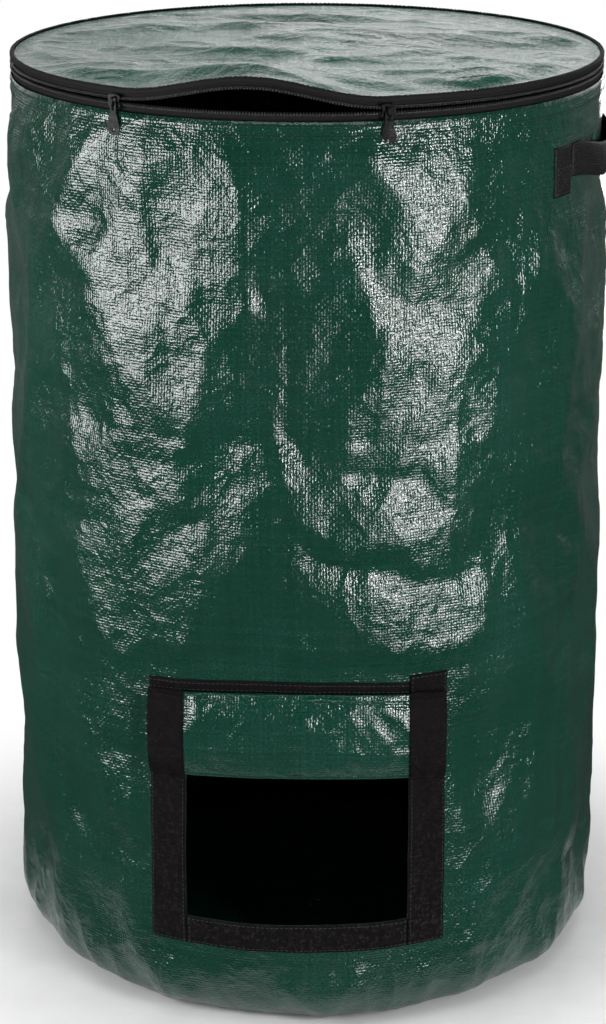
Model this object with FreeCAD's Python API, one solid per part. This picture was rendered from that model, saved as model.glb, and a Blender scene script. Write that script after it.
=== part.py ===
"""Round garden compost bag of woven sheet, with a zipped lid and a rolled-up front hatch.

Millimetres, +Z up, origin at the centre of the underside, hatch towards -Y.
An azimuth is an angle about +Z, 0 at the front (-Y) and positive towards +X.
Heights on the wall are given at its outer face, and radii from the bag's axis.
"""
import FreeCAD
import Part
import os
from math import cos, degrees, pi, radians, sin

from FreeCAD import Vector

# Bag
RIM_RADIUS = 225.0
FOOT_RADIUS = 231.0
RIM_HEIGHT = 702.0
FOOT_CURVE = 28.0
SHEET = 1.0
RIM_HEM_HEIGHT = 12.0
HEM_FOLD = 0.8
BACK_SEAM_WIDTH = 14.0
BASE_BINDING_HEIGHT = 10.0
BASE_BINDING_WIDTH = 2.0

# Zip between the wall and the lid
ZIP_BAND = 14.0
ZIP_TAPE = 0.8
ZIP_TAPE_SEWN = 12.0
COIL_HEIGHT = 2.4
COIL_DEPTH = 2.2
COIL_PARTING = 1.2
COIL_END = 131.0
END_TAB = (131.4, 135.8)
LID_FOLD_AZIMUTH = 140.0

# Lid
LID_CROWN = 5.0
LID_CROWN_RADIUS = 185.0
LID_CROWN_SHIFT = -25.0
LID_GAPE = 14.0
GAPE_DEPTH = 150.0
BINDING_WIDTH = 6.0
BINDING_THICKNESS = 0.8
BINDING_DROP = 1.4
LID_SEAM_GAP = 0.25
FOLD_CLEARANCE = 0.15
TAPE_CLEARANCE = 1.5
BINDING_CLEARANCE = 4.5

# Sliders, one each side of the gap that the lid leaves at the front
SLIDER_AZIMUTH = {"left": -34.3, "right": 16.2}
SLIDER_LENGTH = 11.0
SLIDER_HEIGHT = 9.8
SLIDER_TAIL_HEIGHT = 8.8
SLIDER_PLATE = 1.0
SLIDER_CORNER = 0.7
SLIDER_CLEARANCE = 0.4
SLIDER_LIP = 1.2
BAIL_WIDTH = 1.6
BAIL_HEIGHT = 6.4
BAIL_STAND = 3.2
BAIL_WIRE = 0.9

# Pull tabs
PULL_LENGTH = 23.0
PULL_WIDTH = 11.0
PULL_NECK = 5.4
PULL_THICKNESS = 1.0
PULL_EYE = 5.4
PULL_BAR = 1.2
PULL_HOLE = 2.6

# Hatch
HATCH_BOTTOM = 66.0
HATCH_TOP = 272.0
HATCH_HALF_ANGLE = 28.8
TAPE_WIDTH = 30.0
TAPE_THICKNESS = 1.5
BOTTOM_TAPE_WIDTH = 23.0
RIGHT_TAPE_RISE = 17.0
TOP_STRIP_HEIGHT = 9.0
TOP_STRIP_THICKNESS = 2.2
OPENING_TOP = 262.0

# Flap, rolled up in three layers
FLAP_ROLL_BOTTOM = 206.0
FLAP_ROLL_TOP = 268.6
FLAP_HINGE_HEIGHT = 271.5
FLAP_LAYER_GAP = 0.3
FLAP_TAPE = 1.2
FLAP_STANDOFF = 1.9
FLAP_END = 214.0
FLAP_BOTTOM_TAPE = 25.0

# Carrying handles of webbing
HANDLE_AZIMUTH = {"right": 77.0, "left": -103.0}
HANDLE_HALF_ANGLE = 20.0
WEBBING_WIDTH = 25.0
WEBBING_THICKNESS = 1.5
HANDLE_TOP = 667.0
HANDLE_END_HEIGHT = 37.0
HANDLE_STANDOFF = 7.5

TOUCH = 0.02

foot_steps = 3
turn_steps = 3
lid_steps = 16
zip_middle = RIM_HEIGHT + ZIP_BAND / 2
lid_height = RIM_HEIGHT + ZIP_BAND
tape_outer = RIM_RADIUS - SHEET - 0.1
tape_inner = tape_outer - ZIP_TAPE
coil_outer = tape_outer + 0.05 + COIL_DEPTH
fold_y = RIM_RADIUS * -cos(radians(LID_FOLD_AZIMUTH))


def wall_radius(height):
    """Radius of the wall's outer face, which draws in evenly from foot to rim."""
    rise = (height - FOOT_CURVE) / (RIM_HEIGHT - FOOT_CURVE)
    return FOOT_RADIUS + (RIM_RADIUS - FOOT_RADIUS) * rise


def arc(start, through, end):
    return Part.Arc(Vector(*start), Vector(*through), Vector(*end)).toShape()


def line(start, end):
    return Part.LineSegment(Vector(*start), Vector(*end)).toShape()


def section(edges):
    """Flat face inside edges that follow one another."""
    return Part.Face(Part.Wire(Part.__sortEdges__(edges)))


def turned(outline, start=-180.0, end=180.0):
    """Solid swept between two azimuths by an outline of (radius, height) points."""
    points = [Vector(0, -radius, height) for radius, height in outline]
    face = Part.Face(Part.makePolygon(points + points[:1]))
    face.rotate(Vector(0, 0, 0), Vector(0, 0, 1), start)
    return face.revolve(Vector(0, 0, 0), Vector(0, 0, 1), end - start)


def wall_line(low, high, offset):
    """Two outline points along the wall, moved out by an offset."""
    return [(wall_radius(low) + offset, low), (wall_radius(high) + offset, high)]


def patch(low, high, start, end, inner, outer):
    """Sheet that lies along the wall, between two heights, azimuths and offsets."""
    outline = wall_line(low, high, outer) + wall_line(low, high, inner)[::-1]
    return turned(outline, start, end).toNurbs()


def ring(inner, outer, low, high, start=-180.0, end=180.0):
    """Upright band with straight sides about the bag's axis."""
    return turned([(inner, low), (outer, low), (outer, high), (inner, high)], start, end)


def quarter(radius):
    """Points of the foot's rounding, from the base out to the wall."""
    centre = FOOT_RADIUS - FOOT_CURVE
    angles = [pi / 2 * step / foot_steps for step in range(foot_steps)]
    return [(centre + radius * sin(a), FOOT_CURVE - radius * cos(a)) for a in angles]


def wall_angle(width, height=HATCH_BOTTOM):
    """Angle that a width takes on the wall."""
    return degrees(width / wall_radius(height))


hatch_inner_angle = HATCH_HALF_ANGLE - wall_angle(TAPE_WIDTH)


def wall_band(low, high, start, end):
    """Part of the wall between two heights and azimuths, with its hem at the rim."""
    hem_low = RIM_HEIGHT - RIM_HEM_HEIGHT
    outside = wall_line(low, high, 0)
    if high == RIM_HEIGHT:
        outside = wall_line(low, hem_low, 0) + wall_line(hem_low, high, HEM_FOLD)
    inside = wall_line(low, high, -SHEET)
    if low == FOOT_CURVE:
        outside = quarter(FOOT_CURVE) + outside
        inside = quarter(FOOT_CURVE - SHEET) + inside
    return turned(outside + inside[::-1], start, end)


def body_wall():
    """One panel rolled into a tube, with the hatch left open at the front."""
    side = hatch_inner_angle
    sill = HATCH_BOTTOM + BOTTOM_TAPE_WIDTH
    levels = [(FOOT_CURVE, sill), (sill, OPENING_TOP), (OPENING_TOP, RIM_HEIGHT)]
    bands = [wall_band(low, high, side, 360 - side) for low, high in levels]
    bands += [wall_band(low, high, -side, side) for low, high in levels[::2]]
    return bands[0].fuse(bands[1:]).toNurbs()


def back_seam():
    """Lap that closes the tube, sewn flat on the outside."""
    half = wall_angle(BACK_SEAM_WIDTH) / 2
    high = RIM_HEIGHT - RIM_HEM_HEIGHT - TOUCH
    return patch(FOOT_CURVE, high, 180 - half, 180 + half, TOUCH, HEM_FOLD)


def base_panel():
    radius = FOOT_RADIUS - FOOT_CURVE - TOUCH
    return Part.makeCylinder(radius, SHEET)


def base_seam_binding():
    """Bound seam allowance that stands up inside the bag, round the base."""
    outer = FOOT_RADIUS - FOOT_CURVE - 0.5
    low = SHEET + TOUCH
    return ring(outer - BASE_BINDING_WIDTH, outer, low, low + BASE_BINDING_HEIGHT)


def zip_tape_lower():
    low = RIM_HEIGHT - ZIP_TAPE_SEWN
    high = zip_middle - COIL_PARTING / 2
    return ring(tape_inner, tape_outer, low, high, -LID_FOLD_AZIMUTH, LID_FOLD_AZIMUTH)


def zip_coil_lower():
    high = zip_middle - COIL_PARTING / 2
    return ring(tape_outer + 0.05, coil_outer, high - COIL_HEIGHT, high, -COIL_END, COIL_END)


def zip_end_tab(side):
    """Folded tab sewn over the end of the lower tape."""
    sign = {"left": -1, "right": 1}[side]
    start, end = sorted(sign * azimuth for azimuth in END_TAB)
    high = zip_middle - COIL_PARTING / 2
    return ring(tape_outer + 0.05, coil_outer, RIM_HEIGHT + TOUCH, high, start, end)


def lid_level(x, y):
    """Height of the lid cloth's underside: a soft crown, and a gape between the sliders."""
    reach = (x**2 + (y - LID_CROWN_SHIFT) ** 2) / LID_CROWN_RADIUS**2
    crown = LID_CROWN * max(0.0, 1 - reach) ** 2
    left = RIM_RADIUS * sin(radians(SLIDER_AZIMUTH["left"]))
    right = RIM_RADIUS * sin(radians(SLIDER_AZIMUTH["right"]))
    along = min(1.0, max(0.0, (x - left) / (right - left)))
    depth = min(1.0, max(0.0, (-y - RIM_RADIUS + GAPE_DEPTH) / (GAPE_DEPTH * 0.75)))
    gape = LID_GAPE * sin(pi * along) ** 2 * depth**2 * (3 - 2 * depth)
    return lid_height + crown + gape


def lid_layer(low, high):
    """Square sheet that follows the lid, between two offsets from its underside."""
    half = RIM_RADIUS + 15
    steps = [-half + 2 * half * step / lid_steps for step in range(lid_steps + 1)]
    surface = Part.BSplineSurface()
    surface.interpolate([[Vector(x, y, lid_level(x, y) + low) for y in steps] for x in steps])
    return surface.toShape().extrude(Vector(0, 0, high - low))


def half_space(front, edge):
    """Block in front of or behind an upright plane across the bag."""
    size = 4 * RIM_RADIUS
    start = edge - size if front else edge
    return Part.makeBox(size, size, size, Vector(-size / 2, start, 0))


def lid_piece(inner, outer, low, high, front, clearance):
    """Part of the lid between two radii and two levels, before or behind the fold."""
    edge = fold_y - clearance if front else fold_y + clearance
    disc = Part.makeCylinder(outer, 3 * ZIP_BAND, Vector(0, 0, lid_height - ZIP_BAND))
    if inner:
        disc = disc.cut(
            Part.makeCylinder(inner, 3 * ZIP_BAND, Vector(0, 0, lid_height - ZIP_BAND))
        )
    return lid_layer(low, high).common(disc).common(half_space(front, edge))


def lid_cloth(front):
    return lid_piece(0, RIM_RADIUS, 0, SHEET, front, FOLD_CLEARANCE)


def lid_binding(front):
    """Tape folded over the edge of the lid."""
    top = SHEET + TOUCH
    outer = RIM_RADIUS + TOUCH
    lip = lid_piece(
        RIM_RADIUS - BINDING_WIDTH,
        outer + BINDING_THICKNESS,
        top,
        top + BINDING_THICKNESS,
        front,
        BINDING_CLEARANCE,
    )
    skirt = lid_piece(
        outer,
        outer + BINDING_THICKNESS,
        -BINDING_DROP,
        top + BINDING_THICKNESS / 2,
        front,
        BINDING_CLEARANCE,
    )
    return lip.fuse(skirt).removeSplitter()


def zip_tape_upper():
    low = zip_middle + COIL_PARTING / 2 - lid_height
    return lid_piece(tape_inner, tape_outer, low, -TOUCH, True, TAPE_CLEARANCE)


def zip_coil_upper():
    low = zip_middle + COIL_PARTING / 2 - lid_height
    coil = lid_piece(tape_outer + 0.05, coil_outer, low, low + COIL_HEIGHT, True, TAPE_CLEARANCE)
    reach = RIM_RADIUS * -cos(radians(COIL_END))
    return coil.common(half_space(True, reach))


def lid_back_band():
    """Cloth that joins the lid to the wall where the zip stops."""
    return ring(
        RIM_RADIUS - SHEET,
        RIM_RADIUS - TOUCH,
        RIM_HEIGHT + TOUCH,
        lid_height - LID_SEAM_GAP,
        LID_FOLD_AZIMUTH,
        360 - LID_FOLD_AZIMUTH,
    )


def mirrored(shape, side):
    """The right-hand slider faces the other way round the rim."""
    if side == "left":
        return shape
    return shape.mirror(Vector(0, 0, 0), Vector(1, 0, 0))


def at_slider(shape, side):
    """Set a shape that was made at the front, at its slider's place on the rim."""
    shape = mirrored(shape, side)
    shape.rotate(Vector(0, 0, 0), Vector(0, 0, 1), SLIDER_AZIMUTH[side])
    return shape


def slider_plate(radius):
    """Shield-shaped plate, wide at the shoulders and notched at the nose."""
    half = SLIDER_LENGTH / 2
    tail = SLIDER_TAIL_HEIGHT / 2
    shoulder = SLIDER_HEIGHT / 2
    outline = [
        (-half, -tail),
        (half * 0.35, -shoulder),
        (half, -shoulder * 0.72),
        (half * 0.7, 0),
        (half, shoulder * 0.72),
        (half * 0.35, shoulder),
        (-half, tail),
    ]
    points = [Vector(x, -radius, zip_middle + z) for x, z in outline]
    face = Part.Face(Part.makePolygon(points + points[:1]))
    plate = face.extrude(Vector(0, -SLIDER_PLATE, 0))
    corners = [
        edge
        for edge in plate.Edges
        if abs(edge.Vertexes[0].Y - edge.Vertexes[1].Y) > SLIDER_PLATE / 2
    ]
    return plate.makeChamfer(SLIDER_CORNER, corners)


def bail():
    """Loop on the face of the slider, which the pull tab's bar runs through."""
    face_radius = coil_outer + SLIDER_CLEARANCE + SLIDER_PLATE
    half = BAIL_HEIGHT / 2

    def loop(inset):
        out = face_radius + BAIL_STAND - inset
        low = zip_middle - half + inset
        high = zip_middle + half - inset
        knee = 1.4 - inset / 2
        slant = knee * (1 - sin(pi / 4))
        back = face_radius - 0.3
        edges = [
            line((0, -back, low), (0, -out + knee, low)),
            arc((0, -out + knee, low), (0, -out + slant, low + slant), (0, -out, low + knee)),
            line((0, -out, low + knee), (0, -out, high - knee)),
            arc((0, -out, high - knee), (0, -out + slant, high - slant), (0, -out + knee, high)),
            line((0, -out + knee, high), (0, -back, high)),
            line((0, -back, high), (0, -back, low)),
        ]
        return section(edges)

    sheet = loop(0).cut(loop(BAIL_WIRE))
    shape = sheet.extrude(Vector(BAIL_WIDTH, 0, 0))
    shape.translate(Vector(-BAIL_WIDTH / 2, 0, 0))
    return shape


def slider_body(side):
    """Two plates joined by a wedge at the nose, with a lip that holds the lower coil."""
    outer_face = coil_outer + SLIDER_CLEARANCE
    inner_face = tape_inner - SLIDER_CLEARANCE - SLIDER_PLATE
    front = slider_plate(outer_face)
    back = slider_plate(inner_face)
    half = SLIDER_LENGTH / 2
    wedge_height = COIL_PARTING - 0.3
    wedge = Part.makeBox(
        half * 0.45,
        outer_face - inner_face,
        wedge_height,
        Vector(half * 0.15, -outer_face - SLIDER_PLATE / 2, zip_middle - wedge_height / 2),
    )
    lip_reach = COIL_DEPTH + SLIDER_CLEARANCE - 0.35
    lip_top = zip_middle - COIL_PARTING / 2 - COIL_HEIGHT - SLIDER_CLEARANCE
    lip = Part.makeBox(
        half * 1.05,
        lip_reach + SLIDER_PLATE / 2,
        SLIDER_LIP,
        Vector(-half * 0.8, -outer_face - SLIDER_PLATE / 2, lip_top - SLIDER_LIP),
    )
    shape = front.fuse([back, wedge, lip, bail()]).removeSplitter()
    return at_slider(shape, side)


def pull_pivot():
    """Radius and height of the bar that each pull tab swings on."""
    radius = coil_outer + SLIDER_CLEARANCE + SLIDER_PLATE
    return radius + (BAIL_STAND - BAIL_WIRE) / 2, zip_middle - 1.0


def pull_tab(side):
    """Flat tab, narrow at its eye and wide and round at its end, with a small hole."""
    radius, height = pull_pivot()
    top = height + PULL_BAR / 2
    neck = PULL_NECK / 2
    width = PULL_WIDTH / 2
    low = height - PULL_LENGTH
    round_centre = low + width
    shoulder = height - PULL_EYE - 1.2

    def at(x, z):
        return (x, -radius + PULL_THICKNESS / 2, z)

    edges = [
        line(at(-neck, top), at(neck, top)),
        line(at(neck, top), at(neck, shoulder)),
        line(at(neck, shoulder), at(width, round_centre + 2)),
        line(at(width, round_centre + 2), at(width, round_centre)),
        arc(at(width, round_centre), at(0, low), at(-width, round_centre)),
        line(at(-width, round_centre), at(-width, round_centre + 2)),
        line(at(-width, round_centre + 2), at(-neck, shoulder)),
        line(at(-neck, shoulder), at(-neck, top)),
    ]
    tab = section(edges).extrude(Vector(0, -PULL_THICKNESS, 0))
    slot_half = BAIL_WIDTH / 2 + 0.45
    slot = Part.makeBox(
        2 * slot_half,
        4 * PULL_THICKNESS,
        PULL_EYE - PULL_BAR / 2,
        Vector(-slot_half, -radius - 2 * PULL_THICKNESS, height - PULL_EYE),
    )
    hole = Part.makeCylinder(
        PULL_HOLE / 2,
        4 * PULL_THICKNESS,
        Vector(0, -radius + 2 * PULL_THICKNESS, low + 3.6),
        Vector(0, -1, 0),
    )
    bar = Part.makeCylinder(
        PULL_BAR / 2, PULL_NECK, Vector(-neck, -radius, height), Vector(1, 0, 0)
    )
    shape = tab.cut(slot).cut(hole).fuse(bar).removeSplitter()
    return at_slider(shape, side)


def hatch_tape(side):
    """Hook-and-loop tape down one side of the hatch."""
    if side == "left":
        return patch(
            HATCH_BOTTOM,
            HATCH_TOP - TOUCH,
            -HATCH_HALF_ANGLE,
            -hatch_inner_angle,
            TOUCH,
            TAPE_THICKNESS,
        )
    return patch(
        HATCH_BOTTOM,
        HATCH_TOP + RIGHT_TAPE_RISE,
        hatch_inner_angle,
        HATCH_HALF_ANGLE,
        TOUCH,
        TAPE_THICKNESS,
    )


def hatch_tape_bottom():
    high = HATCH_BOTTOM + BOTTOM_TAPE_WIDTH
    end = hatch_inner_angle - 0.1
    return patch(HATCH_BOTTOM, high, -end, end, TOUCH, TAPE_THICKNESS)


def hatch_top_strip():
    """Stitched strip that holds the flap's upper edge on the wall."""
    high = HATCH_TOP + TOP_STRIP_HEIGHT
    return patch(
        HATCH_TOP,
        high,
        -HATCH_HALF_ANGLE,
        hatch_inner_angle - 0.1,
        TOUCH,
        TOP_STRIP_THICKNESS,
    )


def roll_levels():
    """Offsets from the wall of the roll's three layers of cloth, back to front."""
    first = FLAP_STANDOFF + FLAP_TAPE
    last = first + SHEET + FLAP_LAYER_GAP + FLAP_TAPE
    second = last + SHEET + FLAP_LAYER_GAP
    return first, last, second


def half_turn(near, far, height, side):
    """Outline points round a fold from one offset to another, below or above a height."""
    middle = (near + far) / 2
    reach = (far - near) / 2
    angles = [pi * step / turn_steps for step in range(turn_steps + 1)]
    return [(middle - reach * cos(a), height + side * abs(reach) * sin(a)) for a in angles]


def roll_outline(back, front, inside, thickness, top_end):
    """Outline of a strip rolled once: down, up in front, and down again inside.

    back, front and inside are the offsets of the strip's faces that look out of the
    roll: behind the first layer, before the second, and behind the third.
    """
    low, high = roll_turns()
    base = wall_radius((FLAP_ROLL_BOTTOM + FLAP_ROLL_TOP) / 2)
    outline = (
        [(back, top_end)]
        + half_turn(back, front, low, -1)
        + half_turn(front, inside, high, 1)
        + [(inside, FLAP_END), (inside + thickness, FLAP_END)]
        + half_turn(inside + thickness, front - thickness, high, 1)
        + half_turn(front - thickness, back + thickness, low, -1)
        + [(back + thickness, top_end)]
    )
    return [(base + offset, height) for offset, height in outline]


def roll_turns():
    """Heights of the centres of the roll's lower and upper turns."""
    first, last, second = roll_levels()
    back = first - FLAP_TAPE
    front = second + SHEET + FLAP_TAPE
    low = FLAP_ROLL_BOTTOM + (front - back) / 2
    high = FLAP_ROLL_TOP - (front - last + FLAP_TAPE) / 2
    return low, high


def hatch_flap():
    """Cloth of the flap, sewn at its top and rolled up on itself."""
    first, last, second = roll_levels()
    outline = roll_outline(first, second + SHEET, last, SHEET, FLAP_HINGE_HEIGHT - 1)
    return turned(outline, -HATCH_HALF_ANGLE, HATCH_HALF_ANGLE)


def flap_tape(side):
    """Tape along one side of the flap, on the face that shows when the flap is rolled."""
    first, last, second = roll_levels()
    outline = roll_outline(
        first - FLAP_TAPE,
        second + SHEET + FLAP_TAPE,
        last - FLAP_TAPE,
        FLAP_TAPE - TOUCH,
        FLAP_HINGE_HEIGHT - 2,
    )
    if side == "left":
        return turned(outline, -HATCH_HALF_ANGLE, -hatch_inner_angle)
    return turned(outline, hatch_inner_angle, HATCH_HALF_ANGLE)


def flap_tape_bottom():
    """Tape along the flap's free edge, hidden inside the roll."""
    first, last, second = roll_levels()
    base = wall_radius((FLAP_ROLL_BOTTOM + FLAP_ROLL_TOP) / 2)
    end = hatch_inner_angle - 0.1
    return ring(
        base + last - FLAP_TAPE,
        base + last - TOUCH,
        FLAP_END,
        FLAP_END + FLAP_BOTTOM_TAPE,
        -end,
        end,
    )


def handle_end(side, sign):
    """End of a handle, turned down and sewn flat on the wall."""
    half = wall_angle(WEBBING_WIDTH) / 2
    middle = HANDLE_AZIMUTH[side] + sign * (HANDLE_HALF_ANGLE)
    low = HANDLE_TOP - HANDLE_END_HEIGHT
    return patch(low, HANDLE_TOP, middle - half, middle + half, TOUCH, WEBBING_THICKNESS)


def handle_strap(side):
    """Free part of a handle, bowed out from the wall between its sewn ends."""
    half = HANDLE_HALF_ANGLE - wall_angle(WEBBING_WIDTH) / 2 - 0.15
    low = HANDLE_TOP - WEBBING_WIDTH
    near = wall_radius(low) + 0.4

    def bow(offset):
        start = near + offset
        across = start * sin(radians(half))
        along = start * cos(radians(half))
        return [
            (-across, -along, low),
            (0, -near - HANDLE_STANDOFF - offset, low),
            (across, -along, low),
        ]

    inner = bow(0)
    outer = bow(WEBBING_THICKNESS)
    face = section(
        [arc(*inner), arc(*outer), line(inner[0], outer[0]), line(inner[2], outer[2])]
    )
    strap = face.extrude(Vector(0, 0, WEBBING_WIDTH))
    strap.rotate(Vector(0, 0, 0), Vector(0, 0, 1), HANDLE_AZIMUTH[side])
    return strap


def pieces():
    """Every piece of the bag by its name."""
    made = {
        "body_wall": body_wall(),
        "back_seam": back_seam(),
        "base_panel": base_panel(),
        "base_seam_binding": base_seam_binding(),
        "zip_tape_lower": zip_tape_lower(),
        "zip_coil_lower": zip_coil_lower(),
        "lid_panel": lid_cloth(True),
        "lid_binding": lid_binding(True),
        "zip_tape_upper": zip_tape_upper(),
        "zip_coil_upper": zip_coil_upper(),
        "lid_back_panel": lid_cloth(False),
        "lid_back_binding": lid_binding(False),
        "lid_back_band": lid_back_band(),
        "hatch_tape_bottom": hatch_tape_bottom(),
        "hatch_top_strip": hatch_top_strip(),
        "hatch_flap": hatch_flap(),
        "flap_tape_bottom": flap_tape_bottom(),
    }
    for side in ("left", "right"):
        made["zip_end_tab_" + side] = zip_end_tab(side)
        made["slider_body_" + side] = slider_body(side)
        made["pull_tab_" + side] = pull_tab(side)
        made["hatch_tape_" + side] = hatch_tape(side)
        made["flap_tape_" + side] = flap_tape(side)
        made["handle_strap_" + side] = handle_strap(side)
        made["handle_end_front_" + side] = handle_end(side, -1 if side == "right" else 1)
        made["handle_end_rear_" + side] = handle_end(side, 1 if side == "right" else -1)
    return made


def main():
    os.makedirs("parts", exist_ok=True)
    for name, shape in sorted(pieces().items()):
        if not shape.isValid() or len(shape.Solids) != 1:
            raise ValueError(f"{name}: valid {shape.isValid()}, {len(shape.Solids)} solids")
        shape = shape.Solids[0]
        shape.exportStep(f"parts/{name}.step")
        box = shape.BoundBox
        print(
            f"{name:22s} {shape.Volume:10.1f} mm3  x {box.XMin:.1f} {box.XMax:.1f}"
            f"  y {box.YMin:.1f} {box.YMax:.1f}  z {box.ZMin:.1f} {box.ZMax:.1f}"
        )


main()
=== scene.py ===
"""Dresses a round garden compost bag: crumpled woven sheet, zip, webbing and hatch tapes."""

import functools
import itertools
import math

import bpy
import numpy as np
from bpy.props import FloatProperty, FloatVectorProperty, IntProperty, PointerProperty
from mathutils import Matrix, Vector
from mathutils.bvhtree import BVHTree
from mathutils.geometry import delaunay_2d_cdt


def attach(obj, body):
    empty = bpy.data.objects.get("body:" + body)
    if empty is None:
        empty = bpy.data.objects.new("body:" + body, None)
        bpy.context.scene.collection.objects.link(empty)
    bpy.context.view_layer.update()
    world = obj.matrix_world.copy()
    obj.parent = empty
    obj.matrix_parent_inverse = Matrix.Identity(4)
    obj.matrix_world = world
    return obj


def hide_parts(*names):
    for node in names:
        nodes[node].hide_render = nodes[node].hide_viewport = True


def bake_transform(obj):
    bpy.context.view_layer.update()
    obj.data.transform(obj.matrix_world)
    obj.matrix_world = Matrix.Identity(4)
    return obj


bl_info = {
    "name": "Compost Bag",
    "version": (1, 0, 0),
    "blender": (4, 5, 0),
    "location": "3D View > Sidebar > Compost Bag",
    "description": "Woven compost bag with a zipped lid and a rolled-up hatch",
    "category": "Add Mesh",
}

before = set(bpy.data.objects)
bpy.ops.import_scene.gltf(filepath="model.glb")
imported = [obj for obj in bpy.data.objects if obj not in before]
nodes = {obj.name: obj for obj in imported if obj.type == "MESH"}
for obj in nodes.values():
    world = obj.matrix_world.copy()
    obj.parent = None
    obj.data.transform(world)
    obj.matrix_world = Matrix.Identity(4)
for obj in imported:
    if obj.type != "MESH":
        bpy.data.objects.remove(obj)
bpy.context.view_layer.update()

# Places that the solids fix, in metres and degrees
RIM_RADIUS = 0.225
FOOT_RADIUS = 0.231
RIM_HEIGHT = 0.702
FOOT_CURVE = 0.028
HEM_BOTTOM = 0.690
BACK_SEAM_HALF_ANGLE = 1.74
BACK_SEAM_TOP = 0.6895
BASE_TAPE_RADIUS = 0.2006
LID_HEIGHT = 0.716
LID_FOLD_Y = 0.17236
LID_FOLD_AZIMUTH = 140.0
LID_BAND_RADIUS = 0.2241
LID_BAND_HEIGHTS = (0.7021, 0.7158)
ZIP_END_AZIMUTH = 131.0
ZIP_TABS = {"left": (-135.8, -131.4), "right": (131.4, 135.8)}
ZIP_TAB_BOTTOM = 0.7022
ZIP_FOLD_GAP = 0.0015
ZIP_TAPE_TOP = 0.7084
ZIP_TAPE_RADIUS = 0.2231
ZIP_FACE_RADIUS = 0.2239
ZIP_COIL_RADIUS = 0.2250
LOWER_COIL_HEIGHT = 0.7072
UPPER_COIL_DROP = -0.0052
SLIDER_AZIMUTHS = (-34.3, 16.2)
HATCH_HALF_ANGLE = 28.8
HATCH_INNER_ANGLE = 21.348
HATCH_BOTTOM = 0.066
HATCH_SILL = 0.089
HATCH_TOP = 0.272
OPENING_TOP = 0.262
RIGHT_TAPE_TOP = 0.289
SEAM_WIDTH = 0.009
FLAP_LOW = 0.206
FLAP_MIDDLE = 0.2373
FLAP_HIGH = 0.2686
FLAP_HINGE = 0.2715
FLAP_RADIUS = 0.235
HANDLE_AZIMUTHS = {"right": 77.0, "left": -103.0}
HANDLE_HALF_ANGLE = 20.0
HANDLE_TOP = 0.667
HANDLE_END_LENGTH = 0.037
WEBBING_WIDTH = 0.025

# Thickness of tapes and webbing, and how far stitches lie over the cloth below them
KNIT_THICKNESS = 0.0008
LAP_THICKNESS = 0.0008
BASE_THICKNESS = 0.0009
BASE_TAPE_THICKNESS = 0.0018
HOOK_THICKNESS = 0.0015
SEAM_THICKNESS = 0.0021
FLAP_THICKNESS = 0.0009
FLAP_HOOK_THICKNESS = 0.0011
WEBBING_THICKNESS = 0.0015
ZIP_TAB_THICKNESS = 0.0022
OVER_TAPE = 0.0016
OVER_SEAM = 0.0022
OVER_HEM = 0.0011
OVER_LAP = 0.0009

# Zip beads: length as a share of the pitch, width and depth, and the same for the core
TOOTH_SHARE = 0.62
TOOTH_SECTION = (0.0024, 0.0021)
CORE_PITCH = 0.0009
CORE_BEAD = (0.0022, 0.0009, 0.0009)
CORE_SHIFT = 0.0008
STITCH_SHARE = 0.72
# Rows of stitches: heights round the hem, rises over the flap's seam, line on the lid's tape
HEM_STITCHES = (0.6915, 0.6985)
SEAM_STITCHES = (0.002, 0.007)
LID_STITCHES = (0.2242, 0.0026)

# The sliders' solids: distance within which corners are joined, width of the rounded edges,
# and the bend in degrees above which an edge is rounded
WELD_DISTANCE = 0.00002
ROUNDED_WIDTH = 0.00022
ROUNDED_ABOVE = 35

# Soft shapes: rise of the seam over the hatch, bow and sag of the straps, step of the hem
SEAM_ARCH = 0.0055
STRAP_BOW = 0.0062
STRAP_SAG = 0.009
HEM_STEP = 0.0008
# The flap's roll: offsets of its layers from the wall, bulge, rise and height of its end
ROLL_OFFSETS = (0.0036, 0.0061, 0.0088)
ROLL_BULGE = 0.0085
ROLL_RISE = 0.0035
ROLL_END = 0.214

# The wall's cloth: mean radius, height, and the most that it stands off its even shape
MEAN_RADIUS = 0.228
CLOTH_HEIGHT = 0.72
MOST_RELIEF = 0.012
# How far the cloth of wall and lid lies off its even shape on the whole
CLOTH_LIFT = 0.001
# Where the shells of facets end, and the scale of the flat plan in which they are drawn
BELOW_WALL = -0.08
ABOVE_WALL = 0.79
METRES_PER_DEGREE = 0.004
# Share of a tape's thickness that is left along its edges
PRESSED_EDGE = 0.45
# Section of the tape over the lid's edge: radius, and height over the lid's underside
LID_TAPE_OUTLINE = (
    (0.2226, 0.0017), (0.2228, 0.0021), (0.2236, 0.0024), (0.2248, 0.0024),
    (0.2256, 0.0020), (0.2259, 0.0013), (0.2259, 0.0), (0.2258, -0.0013),
    (0.2252, -0.0014), (0.2251, -0.0003), (0.2251, 0.0009), (0.2240, 0.0013),
)

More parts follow.
